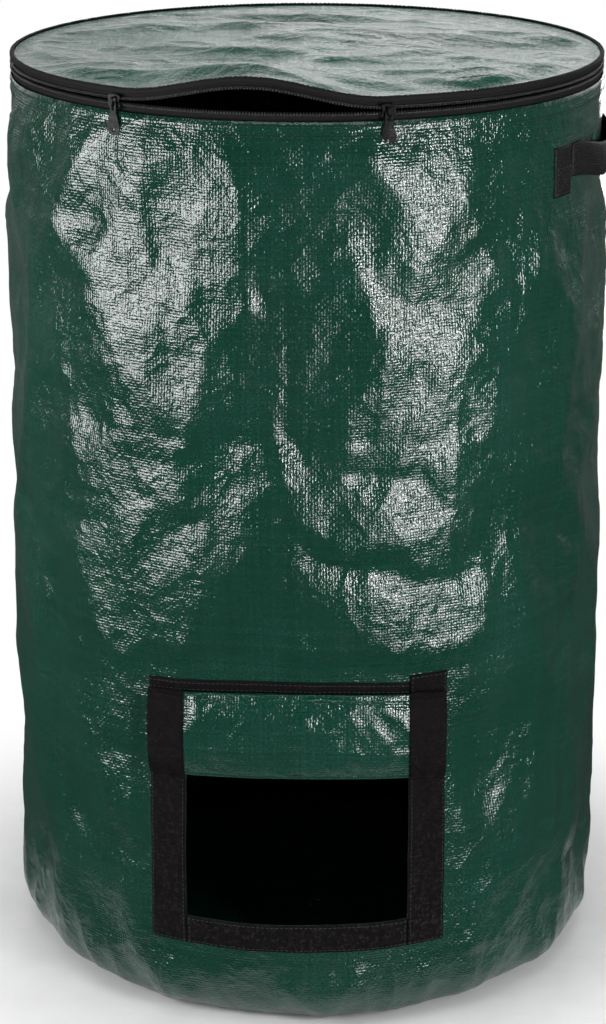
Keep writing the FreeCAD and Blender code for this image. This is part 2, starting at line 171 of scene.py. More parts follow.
# Corners of the wall's facets, where its creases meet: azimuth, height and rise in mm
KEPT_CORNERS = (
    (-14, 0.686, 4.5), (-10, 0.660, 5.0), (-9, 0.630, 6.0), (-10, 0.600, 5.0), (-8, 0.572, 6.5),
    (-15, 0.542, 4.0), (-19, 0.481, 4.0),
    (-44, 0.660, 5.5), (-28, 0.674, 5.5), (-60, 0.668, 4.0),
    (-73, 0.640, 5.0), (-50, 0.616, 6.0), (-39, 0.579, 6.0), (-34, 0.530, 6.0), (-30, 0.485, 4.0),
    (-29, 0.618, 1.0), (-21, 0.560, 2.2), (-62, 0.560, 0.0), (-50, 0.510, -1.0),
    (-2, 0.690, 0.0), (-2, 0.640, -2.0), (-3, 0.560, -1.5), (-4, 0.485, 0.0),
    (6, 0.690, 4.0), (14, 0.668, 5.5), (24, 0.617, 6.0), (22, 0.684, 2.0), (31, 0.640, 5.5),
    (33, 0.685, 2.0),
    (9, 0.615, 0.0), (20, 0.572, 1.5), (31, 0.522, 5.0), (16, 0.551, 4.5), (29, 0.478, 4.5),
    (6, 0.520, -0.5), (15, 0.478, 1.5), (42, 0.560, 0.5), (41, 0.465, 1.0),
    (-1, 0.422, 6.0), (9, 0.392, 7.5), (18, 0.396, 7.0), (29, 0.408, 4.0),
    (3, 0.456, -2.5), (12, 0.446, -3.0), (23, 0.440, -2.5),
    (-3, 0.362, 6.5), (10, 0.336, 7.5), (22, 0.298, 7.0), (36, 0.321, 6.0),
    (3, 0.386, -1.0), (13, 0.376, -2.5), (25, 0.362, -3.0), (37, 0.366, -1.0),
    (-43, 0.409, 2.0), (-32, 0.378, 3.0), (-16, 0.363, 2.5), (-36, 0.455, 1.0), (-22, 0.448, 1.0),
    (-45, 0.345, 1.5), (-24, 0.350, 1.0), (-38, 0.300, 3.0), (-22, 0.292, 3.0),
    (-65, 0.184, 5.0), (-44, 0.209, 5.0), (-77, 0.243, 5.0), (-60, 0.200, 1.5), (-50, 0.265, -1.0),
    (49, 0.286, 6.0), (61, 0.220, 5.5), (52, 0.200, -1.0), (66, 0.150, 5.5), (46, 0.120, 5.5),
    (61, 0.088, 2.5),
    (-79, 0.300, 5.0), (-76, 0.120, 5.0), (-66, 0.440, 1.0), (66, 0.600, 0.0), (55, 0.660, 4.0),
    (62, 0.520, 4.5), (56, 0.420, 3.5), (70, 0.350, 0.5), (44, 0.400, -1.0), (-40, 0.120, 0.0),
    (-52, 0.090, 5.0),
)
# Thin creases: azimuth and height of both ends, rise and width in mm
CREASES = (
    (-3, 0.650, -3.5, 0.480, 1.7, 4),
    (-13, 0.696, -9, 0.640, 1.4, 4),
    (-9, 0.640, -8, 0.575, 1.4, 4),
    (6, 0.697, 14, 0.670, 1.4, 4),
    (14, 0.670, 24, 0.617, 1.6, 5),
    (-73, 0.640, -50, 0.616, 1.2, 5),
    (-50, 0.616, -38, 0.579, 1.2, 5),
    (-28, 0.660, -24, 0.560, -1.2, 6),
    (-24, 0.560, -22, 0.500, -1.2, 6),
    (16, 0.560, 28, 0.478, -1.2, 6),
    (-77, 0.243, -68, 0.207, 1.2, 5),
    (-68, 0.207, -60, 0.193, 1.2, 5),
    (-30, 0.285, -52, 0.330, 1.4, 6),
    (30, 0.298, 46, 0.350, 1.4, 6),
    (31, 0.062, 50, 0.040, 1.4, 6),
    (-31, 0.060, -46, 0.030, 1.4, 6),
)
# Shells of the wall's facets: spacing, and lowest and highest corner in mm
LARGE_FACETS = (0.08, -0.5, 6.5)
SMALL_FACETS = (0.030, -2.1, 2.5)
# Fine creases of the wall: spacing, share of their height, and draw
FINE_CREASES = ((0.05, 1, 20), (0.02, 0.3, 30))
# Shells of the lid's facets: spacing, and height as a share of the wrinkles'
LID_FACETS = ((0.04, 0.5), (0.016, 0.14))
# Straight folds round the wall from the bag's packed state: height, and depth in mm
PACKING_FOLDS = ((0.468, 1.5), (0.232, 1.3))


class BagSizes(bpy.types.PropertyGroup):
    """Sizes of the bag's cloth, tapes and sewing that the solids leave open."""

    sag: FloatProperty(
        name="Sag", description="Depth of the wall's broad dents", default=0.0010,
        min=0, max=0.008, unit="LENGTH",
    )
    flatness: FloatProperty(
        name="Flatness", description="How strongly the facets between the creases stand up",
        default=1.25, min=0, max=2, subtype="FACTOR",
    )
    barrel: FloatProperty(
        name="Barrel", description="How far the wall swells at half height", default=0.0048,
        min=0, max=0.01, unit="LENGTH",
    )
    crumple: FloatProperty(
        name="Crumple", description="Height of the fine sharp creases",
        default=0.0013, min=0, max=0.006, unit="LENGTH",
    )
    crease_share: FloatProperty(
        name="Crease share", description="How strongly the thin creases stand up",
        default=1.0, min=0, max=2, subtype="FACTOR",
    )
    weave: FloatProperty(
        name="Weave", description="Width of one woven strip", default=0.0021,
        min=0.001, max=0.006, unit="LENGTH",
    )
    sheet: FloatProperty(
        name="Sheet", description="Thickness of the woven sheet", default=0.0007,
        min=0.0002, max=0.001, unit="LENGTH",
    )
    gape: FloatProperty(
        name="Gape", description="Rise of the lid between its two sliders", default=0.014,
        min=0, max=0.02, unit="LENGTH",
    )
    lid_wrinkle: FloatProperty(
        name="Lid wrinkle", description="Height of the lid's long wrinkles", default=0.0075,
        min=0, max=0.015, unit="LENGTH",
    )
    stitch: FloatProperty(
        name="Stitch", description="Length of one stitch with its gap", default=0.0036,
        min=0.002, max=0.008, unit="LENGTH",
    )
    thread: FloatProperty(
        name="Thread", description="Thickness of the sewing thread", default=0.0005,
        min=0.0002, max=0.001, unit="LENGTH",
    )
    tooth_pitch: FloatProperty(
        name="Tooth pitch", description="Distance between two turns of the zip's coil",
        default=0.0022, min=0.001, max=0.004, unit="LENGTH",
    )
    seed: IntProperty(name="Seed", description="Picks another set of dents", default=7)


class BagColours(bpy.types.PropertyGroup):
    """Colours of the bag's materials."""

    sheet: FloatVectorProperty(
        name="Sheet", description="Dark green of the woven sheet", subtype="COLOR",
        default=(0.0018, 0.031, 0.018), min=0, max=1,
    )
    sheet_faded: FloatVectorProperty(
        name="Faded sheet", description="Green where the lamination has turned milky",
        subtype="COLOR", default=(0.009, 0.052, 0.036), min=0, max=1,
    )
    tape: FloatVectorProperty(
        name="Hook tape", description="Brownish black of the hook-and-loop tape",
        subtype="COLOR", default=(0.0035, 0.0028, 0.003), min=0, max=1,
    )
    webbing: FloatVectorProperty(
        name="Webbing", description="Black of the webbing and bindings", subtype="COLOR",
        default=(0.004, 0.004, 0.0045), min=0, max=1,
    )
    metal: FloatVectorProperty(
        name="Slider", description="Black lacquer of the zip sliders", subtype="COLOR",
        default=(0.003, 0.003, 0.0033), min=0, max=1,
    )
    thread: FloatVectorProperty(
        name="Thread", description="Sewing thread", subtype="COLOR",
        default=(0.014, 0.022, 0.02), min=0, max=1,
    )
    floor: FloatVectorProperty(
        name="Floor", description="Pale floor", subtype="COLOR",
        default=(0.8, 0.8, 0.8), min=0, max=1,
    )


class StudioSettings(bpy.types.PropertyGroup):
    """Camera and lamps."""

    distance: FloatProperty(
        name="Distance", description="Level distance from the bag's axis to the camera",
        default=2.0, min=1, max=5, unit="LENGTH",
    )
    height: FloatProperty(
        name="Height", description="Height of the camera", default=1.0366, min=0, max=3,
        unit="LENGTH",
    )
    azimuth: FloatProperty(
        name="Azimuth", description="Turn of the camera about the bag",
        default=math.radians(2), subtype="ANGLE",
    )
    pitch: FloatProperty(
        name="Pitch", description="How far the camera looks down",
        default=0.335277, subtype="ANGLE",
    )
    lens: FloatProperty(
        name="Lens", description="Focal length on a frame 36 mm high", default=91.8,
        min=10, max=300,
    )
    lamp_power: FloatProperty(
        name="Lamp power", description="Power that each lamp gives its own share of",
        default=4.0, min=0, max=200, subtype="POWER",
    )


def sizes():
    """Settings for the sizes of cloth, tapes and sewing."""
    return bpy.context.scene.compost_bag_sizes


def colours():
    """Settings for the colours."""
    return bpy.context.scene.compost_bag_colours


# Number work for cloth surfaces


def smooth(low, high, values):
    """Eases from 0 at low to 1 at high."""
    part = np.clip((np.asarray(values, float) - low) / (high - low), 0, 1)
    return part * part * (3 - 2 * part)


def gradient_noise(points, seed):
    """Smooth noise from about -1 to 1 at points in space, one unit per bump."""
    random = np.random.default_rng(seed)
    table = random.permutation(256)
    gradients = random.normal(size=(256, 3))
    gradients /= np.linalg.norm(gradients, axis=1)[:, None]
    base = np.floor(points).astype(int)
    part = points - base
    fade = part**3 * (part * (part * 6 - 15) + 10)
    total = np.zeros(len(points))
    for corner in itertools.product((0, 1), repeat=3):
        step = np.array(corner)
        cell = (base + step) & 255
        index = table[(cell[:, 2] + table[(cell[:, 1] + table[cell[:, 0]]) & 255]) & 255]
        weight = np.prod(np.where(step == 1, fade, 1 - fade), axis=1)
        total += weight * np.einsum("ij,ij->i", gradients[index], part - step)
    return total * 1.7


def crumpled(points, spacing, seed):
    """Flat facets with sharp creases between them, from 0 to about 1."""
    scaled = points / spacing
    bend = np.stack([gradient_noise(scaled * 0.6, seed + k) for k in (1, 2, 3)], axis=-1)
    return 1 - np.minimum(1, 1.8 * np.abs(gradient_noise(scaled + 0.45 * bend, seed)))


def on_circle(azimuth, radius, height):
    """Points at azimuths in degrees, 0 at the front and positive to the right."""
    angle = np.radians(azimuth)
    level = height + 0 * angle
    return np.stack([radius * np.sin(angle), -radius * np.cos(angle), level], axis=-1)


def ring(radius):
    """Place function of a strip that lies level round the axis."""
    return lambda azimuth, height, lift: on_circle(azimuth, radius + lift, height)


def unrolled(radius):
    """Flat layout of cloth that lies round an axis at a radius."""
    return lambda turn, height: np.stack([np.radians(turn) * radius, height], axis=-1)


def wall_radius(height):
    """Radius of the even wall, which narrows a little from foot to rim."""
    rise = (np.asarray(height, float) - FOOT_CURVE) / (RIM_HEIGHT - FOOT_CURVE)
    return FOOT_RADIUS + (RIM_RADIUS - FOOT_RADIUS) * rise


def crease_relief(azimuth, height):
    """Rise of the thin creases in metres, sharp along their crests."""
    across = RIM_RADIUS * 1000 * np.radians(azimuth)
    up = height * 1000
    total = np.zeros(len(across))
    for start, low, end, high, rise, width in CREASES:
        first = np.array([RIM_RADIUS * 1000 * math.radians(start), low * 1000])
        last = np.array([RIM_RADIUS * 1000 * math.radians(end), high * 1000])
        line = last - first
        along = ((across - first[0]) * line[0] + (up - first[1]) * line[1]) / (line @ line)
        held = np.clip(along, 0, 1)
        gap = np.hypot(across - first[0] - held * line[0], up - first[1] - held * line[1])
        total += rise * np.exp(-gap / width)
    return total / 1000


def crumpled_shell(spacing, low, high, kept, seed):
    """Search tree of a shell of flat triangles round the bag, about one spacing wide.

    Its corners rise by low to high mm, and give way to the kept corners near them.
    """
    random = np.random.default_rng(seed)
    corners = list(kept)
    columns = round(math.tau * MEAN_RADIUS / spacing)
    rows = round(CLOTH_HEIGHT / spacing)
    for row, column in itertools.product(range(rows + 1), range(columns)):
        azimuth = (column + 0.5 * (row % 2) + random.uniform(-0.35, 0.35)) * 360 / columns - 180
        height = (row + random.uniform(-0.35, 0.35)) * CLOTH_HEIGHT / rows
        rise = random.uniform(low, high)
        near = [math.hypot((azimuth - a) * METRES_PER_DEGREE, height - h) for a, h, _ in kept]
        if min(near, default=spacing) > spacing * 0.55:
            corners.append((azimuth, height, rise))
    for azimuth in range(-180, 180, 9):
        corners += [(azimuth, BELOW_WALL, 0), (azimuth, ABOVE_WALL, 0)]
    spread = [
        (azimuth + lap, height, rise)
        for lap in (-360, 0, 360)
        for azimuth, height, rise in corners
        if abs(azimuth + lap) < 240
    ]
    flat = [Vector((azimuth * METRES_PER_DEGREE, height)) for azimuth, height, _ in spread]
    triangles = delaunay_2d_cdt(flat, [], [], 0, 0.00001)[2]
    places = [on_circle(a, MEAN_RADIUS + rise / 1000, h).tolist() for a, h, rise in spread]
    return BVHTree.FromPolygons(places, triangles)


@functools.cache
def wall_shells(seed):
    """Shells of the wall's large facets, with the kept corners, and of its small ones."""
    large = crumpled_shell(*LARGE_FACETS, KEPT_CORNERS, seed)
    small = crumpled_shell(*SMALL_FACETS, (), seed + 1)
    return large, small


def facet_relief(azimuth, height):
    """Rise of the flat facets over the round wall."""
    rays = list(zip(height.tolist(), on_circle(azimuth, 1.0, 0.0).tolist()))
    total = np.zeros(len(rays))
    for shell in wall_shells(sizes().seed):
        total += [shell.ray_cast((0, 0, level), way)[3] - MEAN_RADIUS for level, way in rays]
    return total


def wall_relief(azimuth, height):
    """How far the cloth stands off its even shape, outwards, in metres."""
    setting = sizes()
    azimuth, height = np.broadcast_arrays(np.asarray(azimuth, float), np.asarray(height, float))
    shape = azimuth.shape
    azimuth, height = azimuth.ravel(), height.ravel()
    points = on_circle(azimuth, MEAN_RADIUS, height)
    relief = gradient_noise(points * (1, 1, 0.8) / 0.17, setting.seed) * setting.sag
    for spacing, share, draw in FINE_CREASES:
        relief += (crumpled(points, spacing, setting.seed + draw) - 0.55) * setting.crumple * share
    relief += setting.flatness * facet_relief(azimuth, height)
    relief += CLOTH_LIFT
    relief += crease_relief(azimuth, height) * setting.crease_share
    relief += setting.barrel * np.sin(math.pi * np.clip(height / CLOTH_HEIGHT, 0, 1)) ** 0.6
    for level, depth in PACKING_FOLDS:
        bend = 0.006 * np.cos(np.radians(azimuth) * 2 + 0.4)
        wave = 0.0015 * gradient_noise(points / 0.05, 3)
        gap = np.abs(height - level - bend - wave)
        relief -= depth / 1000 * np.exp(-gap / 0.0045)
    pleat = crumpled(points * (1, 1, 0.35), 0.034, setting.seed + 40) - 0.5
    relief += pleat * 0.0024 * (1 - smooth(0.02, 0.09, height))
    relief = MOST_RELIEF * np.tanh(calmed(relief, azimuth, height) / MOST_RELIEF)
    relief += front_dent(azimuth, height)
    return relief.reshape(shape)


def calmed(relief, azimuth, height):
    """Relief with less play near the hatch's tapes, the handles, the rim and the base."""
    off_hatch = np.maximum(np.abs(azimuth) - HATCH_HALF_ANGLE - 1, 0) / 4
    off_hatch = np.hypot(off_hatch, np.maximum(height - 0.29, 0) / 0.02)
    off_hatch = np.hypot(off_hatch, np.maximum(0.06 - height, 0) / 0.02)
    relief = relief * (0.22 + 0.78 * smooth(0, 1, off_hatch))
    for middle in HANDLE_AZIMUTHS.values():
        beside = np.abs((azimuth - middle + 180) % 360 - 180)
        relief *= 1 - 0.85 * (1 - smooth(25, 33, beside)) * smooth(0.59, 0.625, height)
    relief *= 0.16 + 0.84 * (1 - smooth(0.676, 0.699, height))
    return relief * smooth(-0.016, 0.03, height)


def front_dent(azimuth, height):
    """How far the stiff roll of the flap flattens the wall behind it, inwards."""
    beside = np.clip(np.abs(azimuth) / (HATCH_HALF_ANGLE + 4), 0, 1)
    reach = np.exp(-(((height - 0.265) / 0.085) ** 2))
    return -0.006 * np.cos(beside * math.pi / 2) ** 2 * reach


def wall_place(azimuth, height, lift):
    """Points on the wall's cloth above its foot, moved out by a lift."""
    radius = wall_radius(height) + wall_relief(azimuth, height) + lift
    return on_circle(azimuth, radius, height)


def lid_level(x, y):
    """Height of the lid's underside: a soft crown, and a gape between the sliders."""
    reach = (x**2 + (y + 0.025) ** 2) / 0.185**2
    crown = 0.005 * np.maximum(0, 1 - reach) ** 2
    left, right = (RIM_RADIUS * math.sin(math.radians(a)) for a in SLIDER_AZIMUTHS)
    along = np.clip((x - left) / (right - left), 0, 1)
    depth = smooth(0.075, 0.1875, -y)
    return LID_HEIGHT + crown + sizes().gape * np.sin(math.pi * along) ** 2 * depth


def lid_shell(spacing, height, seed):
    """Search tree of a crumpled flat sheet, its triangles long across the bag."""
    random = np.random.default_rng(seed)
    line = np.arange(-0.3, 0.3, spacing)
    corners = [
        np.array(corner) + random.uniform(-0.4, 0.4, 2) * spacing
        for corner in itertools.product(line, line)
    ]
    triangles = delaunay_2d_cdt([Vector(c) for c in corners], [], [], 0, 0.00001)[2]
    return BVHTree.FromPolygons(
        [(c[0] * 2.2, c[1], random.uniform(-height, height)) for c in corners], triangles
    )


def lid_relief(x, y):
    """Rise of the lid's long wrinkles, which run across the bag."""
    setting = sizes()
    points = np.stack([x, y, 0 * x], axis=-1)
    long = crumpled(points * (0.4, 1, 1), 0.07, setting.seed + 50) - 0.45
    broad = gradient_noise(points / 0.14, setting.seed + 70)
    rise = 0.5 * setting.lid_wrinkle * (long + 0.6 * broad)
    slant = y + 0.25 * x + 0.006 * gradient_noise(points / 0.05, 81)
    spots = list(zip(x.tolist(), slant.tolist()))
    for spacing, share in LID_FACETS:
        shell = lid_shell(spacing, share * setting.lid_wrinkle, setting.seed + 60)
        rise += [0.05 - shell.ray_cast((a, b, 0.05), (0, 0, -1))[3] for a, b in spots]
    return rise * (1 - smooth(0.196, 0.22, np.hypot(x, y)))


# Mesh work


def mesh_object(name, points, faces, uv=None, material=None):
    """Object from points and faces, with a flat layout of the cloth in metres as its UV."""
    mesh = bpy.data.meshes.new(name)
    mesh.from_pydata(np.asarray(points, float).tolist(), [], faces)
    if uv is not None:
        layer = mesh.uv_layers.new(name="cloth")
        loops = np.zeros(len(mesh.loops), np.int64)
        mesh.loops.foreach_get("vertex_index", loops)
        layer.data.foreach_set("uv", np.asarray(uv, np.float32)[loops].ravel())
    mesh.polygons.foreach_set("use_smooth", [True] * len(mesh.polygons))
    mesh.update()
    shown = bpy.data.objects.new(name, mesh)
    bpy.context.scene.collection.objects.link(shown)
    if material:
        mesh.materials.append(material)
    return shown


def grid_faces(rows, columns, closed=False):
    """Faces of a grid of points that is stored row after row."""
    faces = []
    last = columns if closed else columns - 1
    for row, column in itertools.product(range(rows - 1), range(last)):
        low, high = row * columns, (row + 1) * columns
        following = (column + 1) % columns
        faces.append((low + column, low + following, high + following, high + column))
    return faces


def slab(name, place, across, up, thickness, material, layout=None, closed=False):
    """Closed strip of cloth or tape: place(across, up, lift) gives its points.

    Its outer face drops towards its back along the edges, so that they look pressed.
    """
    wide, high = np.meshgrid(np.asarray(across, float), np.asarray(up, float))
    rows, columns = wide.shape
    rim = np.ones(wide.shape)
    rim[[0, -1], :] = PRESSED_EDGE
    if not closed:
        rim[:, [0, -1]] = PRESSED_EDGE
    wide, high = wide.ravel(), high.ravel()
    outer = place(wide, high, (rim * thickness).ravel())
    inner = place(wide, high, np.zeros(wide.size))
    count = rows * columns
    last = count - columns
    faces = grid_faces(rows, columns, closed)
    faces += [tuple(index + count for index in reversed(face)) for face in faces]
    if closed:
        loops = [[*range(columns), 0], [last, *range(count - 1, last - 1, -1)]]
    else:
        right = range(2 * columns - 1, count, columns)
        left = range(last - columns, -1, -columns)
        loops = [[*range(columns), *right, *range(count - 2, last - 1, -1), *left]]
    for loop in loops:
        for first, second in zip(loop, loop[1:]):
            faces.append((second, first, first + count, second + count))
    uv = (layout or unrolled(RIM_RADIUS))(wide, high)
    return mesh_object(name, np.concatenate([outer, inner]), faces, np.tile(uv, (2, 1)), material)


def steps(start, end, size):
    """Evenly spaced values from start to end, about one size apart."""
    return np.linspace(start, end, max(2, int(round(abs(end - start) / size)) + 1))


def joined_steps(marks, spacing):
    """Values through all marks, with a spacing of its own between each two."""
    parts = [steps(a, b, size)[:-1] for a, b, size in zip(marks, marks[1:], spacing)]
    return np.concatenate(parts + [[marks[-1]]])


def thicken(shown, thickness):
    """Gives an open sheet its thickness, inwards from its outer face."""
    solid = shown.modifiers.new("thickness", "SOLIDIFY")
    solid.thickness = thickness
    solid.offset = -1.0
    return plain(shown)


def plain(shown):
    """Makes a piece a plain mesh of what its modifiers show."""
    graph = bpy.context.evaluated_depsgraph_get()
    mesh = bpy.data.meshes.new_from_object(shown.evaluated_get(graph))
    shown.modifiers.clear()
    shown.data = mesh
    return shown


def dress(shown, slot, *replaced):
    """Hides the solids that a finished piece stands for; its material slot is not used."""
    if replaced:
        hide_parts(*replaced)


def seat(shown, body, slot, *replaced):
    """Puts a finished piece on its body, in the place of its solids."""
    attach(shown, body)
    dress(shown, slot, *replaced)


# Node work


class Tree:
    """Short ways to fill a node tree."""

    def __init__(self, tree):
        self.tree = tree

    def add(self, kind, inputs=None, **settings):
        """Adds a node; inputs holds values or other nodes' outputs by name or number."""
        node = self.tree.nodes.new(kind)
        for key, value in settings.items():
            setattr(node, key, value)
        for key, value in (inputs or {}).items():
            self.feed(node.inputs[key], value)
        return node

    def feed(self, socket, value):
        """Sets an input, or links it where the value is another node's output."""
        if isinstance(value, bpy.types.NodeSocket):
            self.tree.links.new(value, socket)
        else:
            socket.default_value = value

    def math(self, operation, *values, clamp=False):
        """Result of an operation on up to three values."""
        inputs = dict(enumerate(values))
        return self.add("ShaderNodeMath", inputs, operation=operation, use_clamp=clamp).outputs[0]

    def times(self, first, second, clamp=False):
        """first * second"""
        return self.math("MULTIPLY", first, second, clamp=clamp)

    def times_plus(self, first, second, third, clamp=False):
        """first * second + third"""
        return self.math("MULTIPLY_ADD", first, second, third, clamp=clamp)

    def ease(self, value, low, high, to_low=0.0, to_high=1.0):
        """Eases from to_low where the value is low to to_high where it is high."""
        inputs = dict(enumerate((value, low, high, to_low, to_high)))
        node = self.add("ShaderNodeMapRange", inputs, interpolation_type="SMOOTHSTEP")
        return node.outputs[0]

    def noise(self, vector, scale, detail=2.0, roughness=0.5):
        """Cloudy noise from 0 to 1, with scale bumps to the metre."""
        inputs = {"Vector": vector, "Scale": scale, "Detail": detail, "Roughness": roughness}
        return self.add("ShaderNodeTexNoise", inputs).outputs["Fac"]

    def mix(self, share, first, second):
        """Colour between two, the second one's share of it given."""
        inputs = {0: share}
        for index, value in ((6, first), (7, second)):
            linked = isinstance(value, bpy.types.NodeSocket)
            inputs[index] = value if linked else (*value, 1)
        return self.add("ShaderNodeMix", inputs, data_type="RGBA").outputs[2]

    def bump(self, height, distance, normal=None):
        """Normal bent by a height, on top of another normal if one is given."""
        inputs = {"Height": height, "Distance": distance, "Strength": 1.0}
        if normal is not None:
            inputs["Normal"] = normal
        return self.add("ShaderNodeBump", inputs).outputs["Normal"]

    def axes(self, vector):
        """The three parts of a vector."""
        return self.add("ShaderNodeSeparateXYZ", {0: vector}).outputs


def effect(name, inputs, outputs, fill):
    """Shader node group with named inputs and outputs; an input without a value is a vector."""
    group = bpy.data.node_groups.new(name, "ShaderNodeTree")
    for label, value in inputs.items():
        kind = "NodeSocketVector" if value is None else "NodeSocketFloat"
        socket = group.interface.new_socket(name=label, in_out="INPUT", socket_type=kind)
        if value is not None:
            socket.default_value = value
    for label in outputs:
        group.interface.new_socket(name=label, in_out="OUTPUT", socket_type="NodeSocketFloat")
    tree = Tree(group)
    tree.add("NodeGroupOutput", fill(tree, tree.add("NodeGroupInput").outputs))
    return group


def plain_weave(tree, given):
    """Strips that pass over and under each other, each at a height of its own."""
    sides = tree.axes(given["Cloth"])
    u = tree.math("DIVIDE", sides[0], given["Pitch"])
    v = tree.math("DIVIDE", sides[1], given["Pitch"])
    column, row = tree.math("FLOOR", u), tree.math("FLOOR", v)

    def chance(number):
        node = tree.add("ShaderNodeTexWhiteNoise", {"W": number}, noise_dimensions="1D")
        return node.outputs["Value"]

    def strip(line, own, other, lift):
        arch = tree.math("ABSOLUTE", tree.math("SINE", tree.times(line, math.pi)))
        wave = tree.math("SINE", tree.times(tree.math("ADD", other, own), math.pi))
        return tree.times_plus(lift, 0.22, tree.times(arch, tree.times_plus(wave, 0.35, 0.65)))

    warp_lift, weft_lift = chance(column), chance(tree.math("ADD", row, 517.3))
    warp = strip(u, column, v, warp_lift)
    weft = strip(v, tree.math("ADD", row, 1.0), u, weft_lift)
    grain = tree.noise(given["Cloth"], tree.math("DIVIDE", 1.15, given["Pitch"]), detail=1.0)
    over = tree.math("GREATER_THAN", warp, weft)
    tint = tree.add("ShaderNodeMix", {0: over, 2: weft_lift, 3: warp_lift}, data_type="FLOAT")
    return {
        "Height": tree.times_plus(tree.math("MAXIMUM", warp, weft), 0.5, grain),
        "Strip": tree.times_plus(tree.math("SUBTRACT", grain, 0.5), 2.2, tint.outputs[0]),
    }


def fine_crinkle(tree, given):
    """Height of the small hard creases that cover a used laminated sheet."""
    total = 0.0
    for scale, share in ((26.0, 1.0), (58.0, 0.45), (130.0, 0.2)):
        value = tree.noise(given["Vector"], scale, detail=1.0)
        gap = tree.math("ABSOLUTE", tree.math("SUBTRACT", value, 0.5))
        total = tree.times_plus(tree.math("SUBTRACT", 0.25, gap), share, total)
    return {"Height": total}


def dust_mask(tree, given):
    """Thin dust that gathers low down and in patches."""
    low = tree.ease(tree.axes(given["Vector"])[2], given["Reach"], 0.0)
    patch = tree.ease(tree.noise(given["Vector"], 9.0, detail=5.0, roughness=0.65), 0.45, 0.75)
    speck = tree.ease(tree.noise(given["Vector"], 320.0), 0.5, 0.72)
    share = tree.times_plus(low, 0.6, tree.times(patch, 0.5))
    return {"Mask": tree.times(share, speck, clamp=True)}


def edge_wear(tree, given):
    """Where raised edges have rubbed paler."""
    geometry = tree.add("ShaderNodeNewGeometry")
    edge = tree.ease(geometry.outputs["Pointiness"], 0.52, 0.62)
    broken = tree.ease(tree.noise(given["Vector"], 900.0, detail=3.0), 0.4, 0.6)
    return {"Mask": tree.times(edge, broken)}


EFFECTS = {
    "plain_weave": ({"Cloth": None, "Pitch": 0.002}, ("Height", "Strip"), plain_weave),
    "fine_crinkle": ({"Vector": None}, ("Height",), fine_crinkle),
    "dust_mask": ({"Vector": None, "Reach": 0.12}, ("Mask",), dust_mask),
    "edge_wear": ({"Vector": None}, ("Mask",), edge_wear),
}


def use_effect(tree, name, **values):
    """Places a node group, which is built when it is first used."""
    if name not in bpy.data.node_groups:
        effect(name, *EFFECTS[name])
    return tree.add("ShaderNodeGroup", values, node_tree=bpy.data.node_groups[name]).outputs


def look(base, roughness, shine, normal, **others):
    """What a finish gives the Principled shader."""
    return {
        "Base Color": base,
        "Roughness": roughness,
        "Specular IOR Level": shine,
        "Normal": normal,
        **others,
    }


def sheet_finish(
    tree, place, cloth, shine=0.9, crinkle=0.0044, roughness=(0.07, 0.2), milky=-0.05, pale=1.0
):
    """Laminated woven strips: milky in places, with speckled gloss and dust low down."""
    colour = colours()
    woven = use_effect(tree, "plain_weave", Cloth=cloth, Pitch=sizes().weave)
    crease = use_effect(tree, "fine_crinkle", Vector=place)
    dust = use_effect(tree, "dust_mask", Vector=place)["Mask"]
    cloud = tree.noise(place, 7.0, detail=4.0, roughness=0.6)
    cloud = tree.ease(cloud, 0.3, 0.75, milky, milky + 0.5)
    share = tree.times_plus(woven["Strip"], 0.45, cloud, clamp=True)
    base = tree.mix(share, colour.sheet, [pale * part for part in colour.sheet_faded])
    base = tree.mix(tree.times(dust, 0.05), base, (0.09, 0.1, 0.085))
    gloss = tree.ease(tree.noise(place, 16.0, detail=5.0, roughness=0.7), 0.3, 0.7, *roughness)
    folds = tree.bump(crease["Height"], crinkle)
    weave = tree.bump(woven["Height"], 0.00036, normal=folds)
    return look(base, tree.times_plus(dust, 0.1, gloss), shine, weave)


def lid_finish(tree, place, cloth):
    """The same sheet on the lid, where it is paler and less glossy."""
    return sheet_finish(
        tree, place, cloth, shine=0.33, crinkle=0.0042, roughness=(0.08, 0.22), milky=0.35, pale=2.2
    )


def hook_tape_finish(tree, place, cloth):
    """Black loops pressed flat, with lint and dust on them."""
    loops = tree.noise(place, 1400.0, detail=3.0, roughness=0.7)
    clump = tree.noise(place, 160.0, detail=4.0, roughness=0.7)
    dust = use_effect(tree, "dust_mask", Vector=place, Reach=0.3)["Mask"]
    share = tree.times(tree.ease(loops, 0.45, 0.7), tree.ease(clump, 0.3, 0.7))
    base = tree.mix(share, colours().tape, (0.022, 0.018, 0.019))
    base = tree.mix(tree.times(dust, 0.12), base, (0.16, 0.14, 0.12))
    rough = tree.ease(clump, 0.3, 0.7, 0.75, 0.95)
    return look(base, rough, 0.12, tree.bump(tree.times_plus(clump, 1.6, loops), 0.0006))


def webbing_finish(tree, place, cloth):
    """Thick ribbed weave of polypropylene yarn."""
    woven = use_effect(tree, "plain_weave", Cloth=cloth, Pitch=0.0017)
    fibre = tree.noise(place, 1100.0, detail=3.0, roughness=0.6)
    share = tree.times(woven["Strip"], tree.ease(fibre, 0.35, 0.7))
    base = tree.mix(share, colours().webbing, (0.016, 0.016, 0.017))
    rough = tree.ease(fibre, 0.3, 0.7, 0.45, 0.62)
    return look(base, rough, 0.25, tree.bump(tree.times_plus(fibre, 0.25, woven["Height"]), 0.0005))


def knit_tape_finish(tree, place, cloth):
    """Zip tape with a fine knitted rib."""
    knit = use_effect(tree, "plain_weave", Cloth=cloth, Pitch=0.0009)["Height"]
    fibre = tree.noise(place, 1500.0)
    base = tree.mix(tree.times(fibre, knit), colours().webbing, (0.014, 0.014, 0.015))
    return look(base, tree.ease(fibre, 0.3, 0.7, 0.6, 0.8), 0.2, tree.bump(knit, 0.0003))


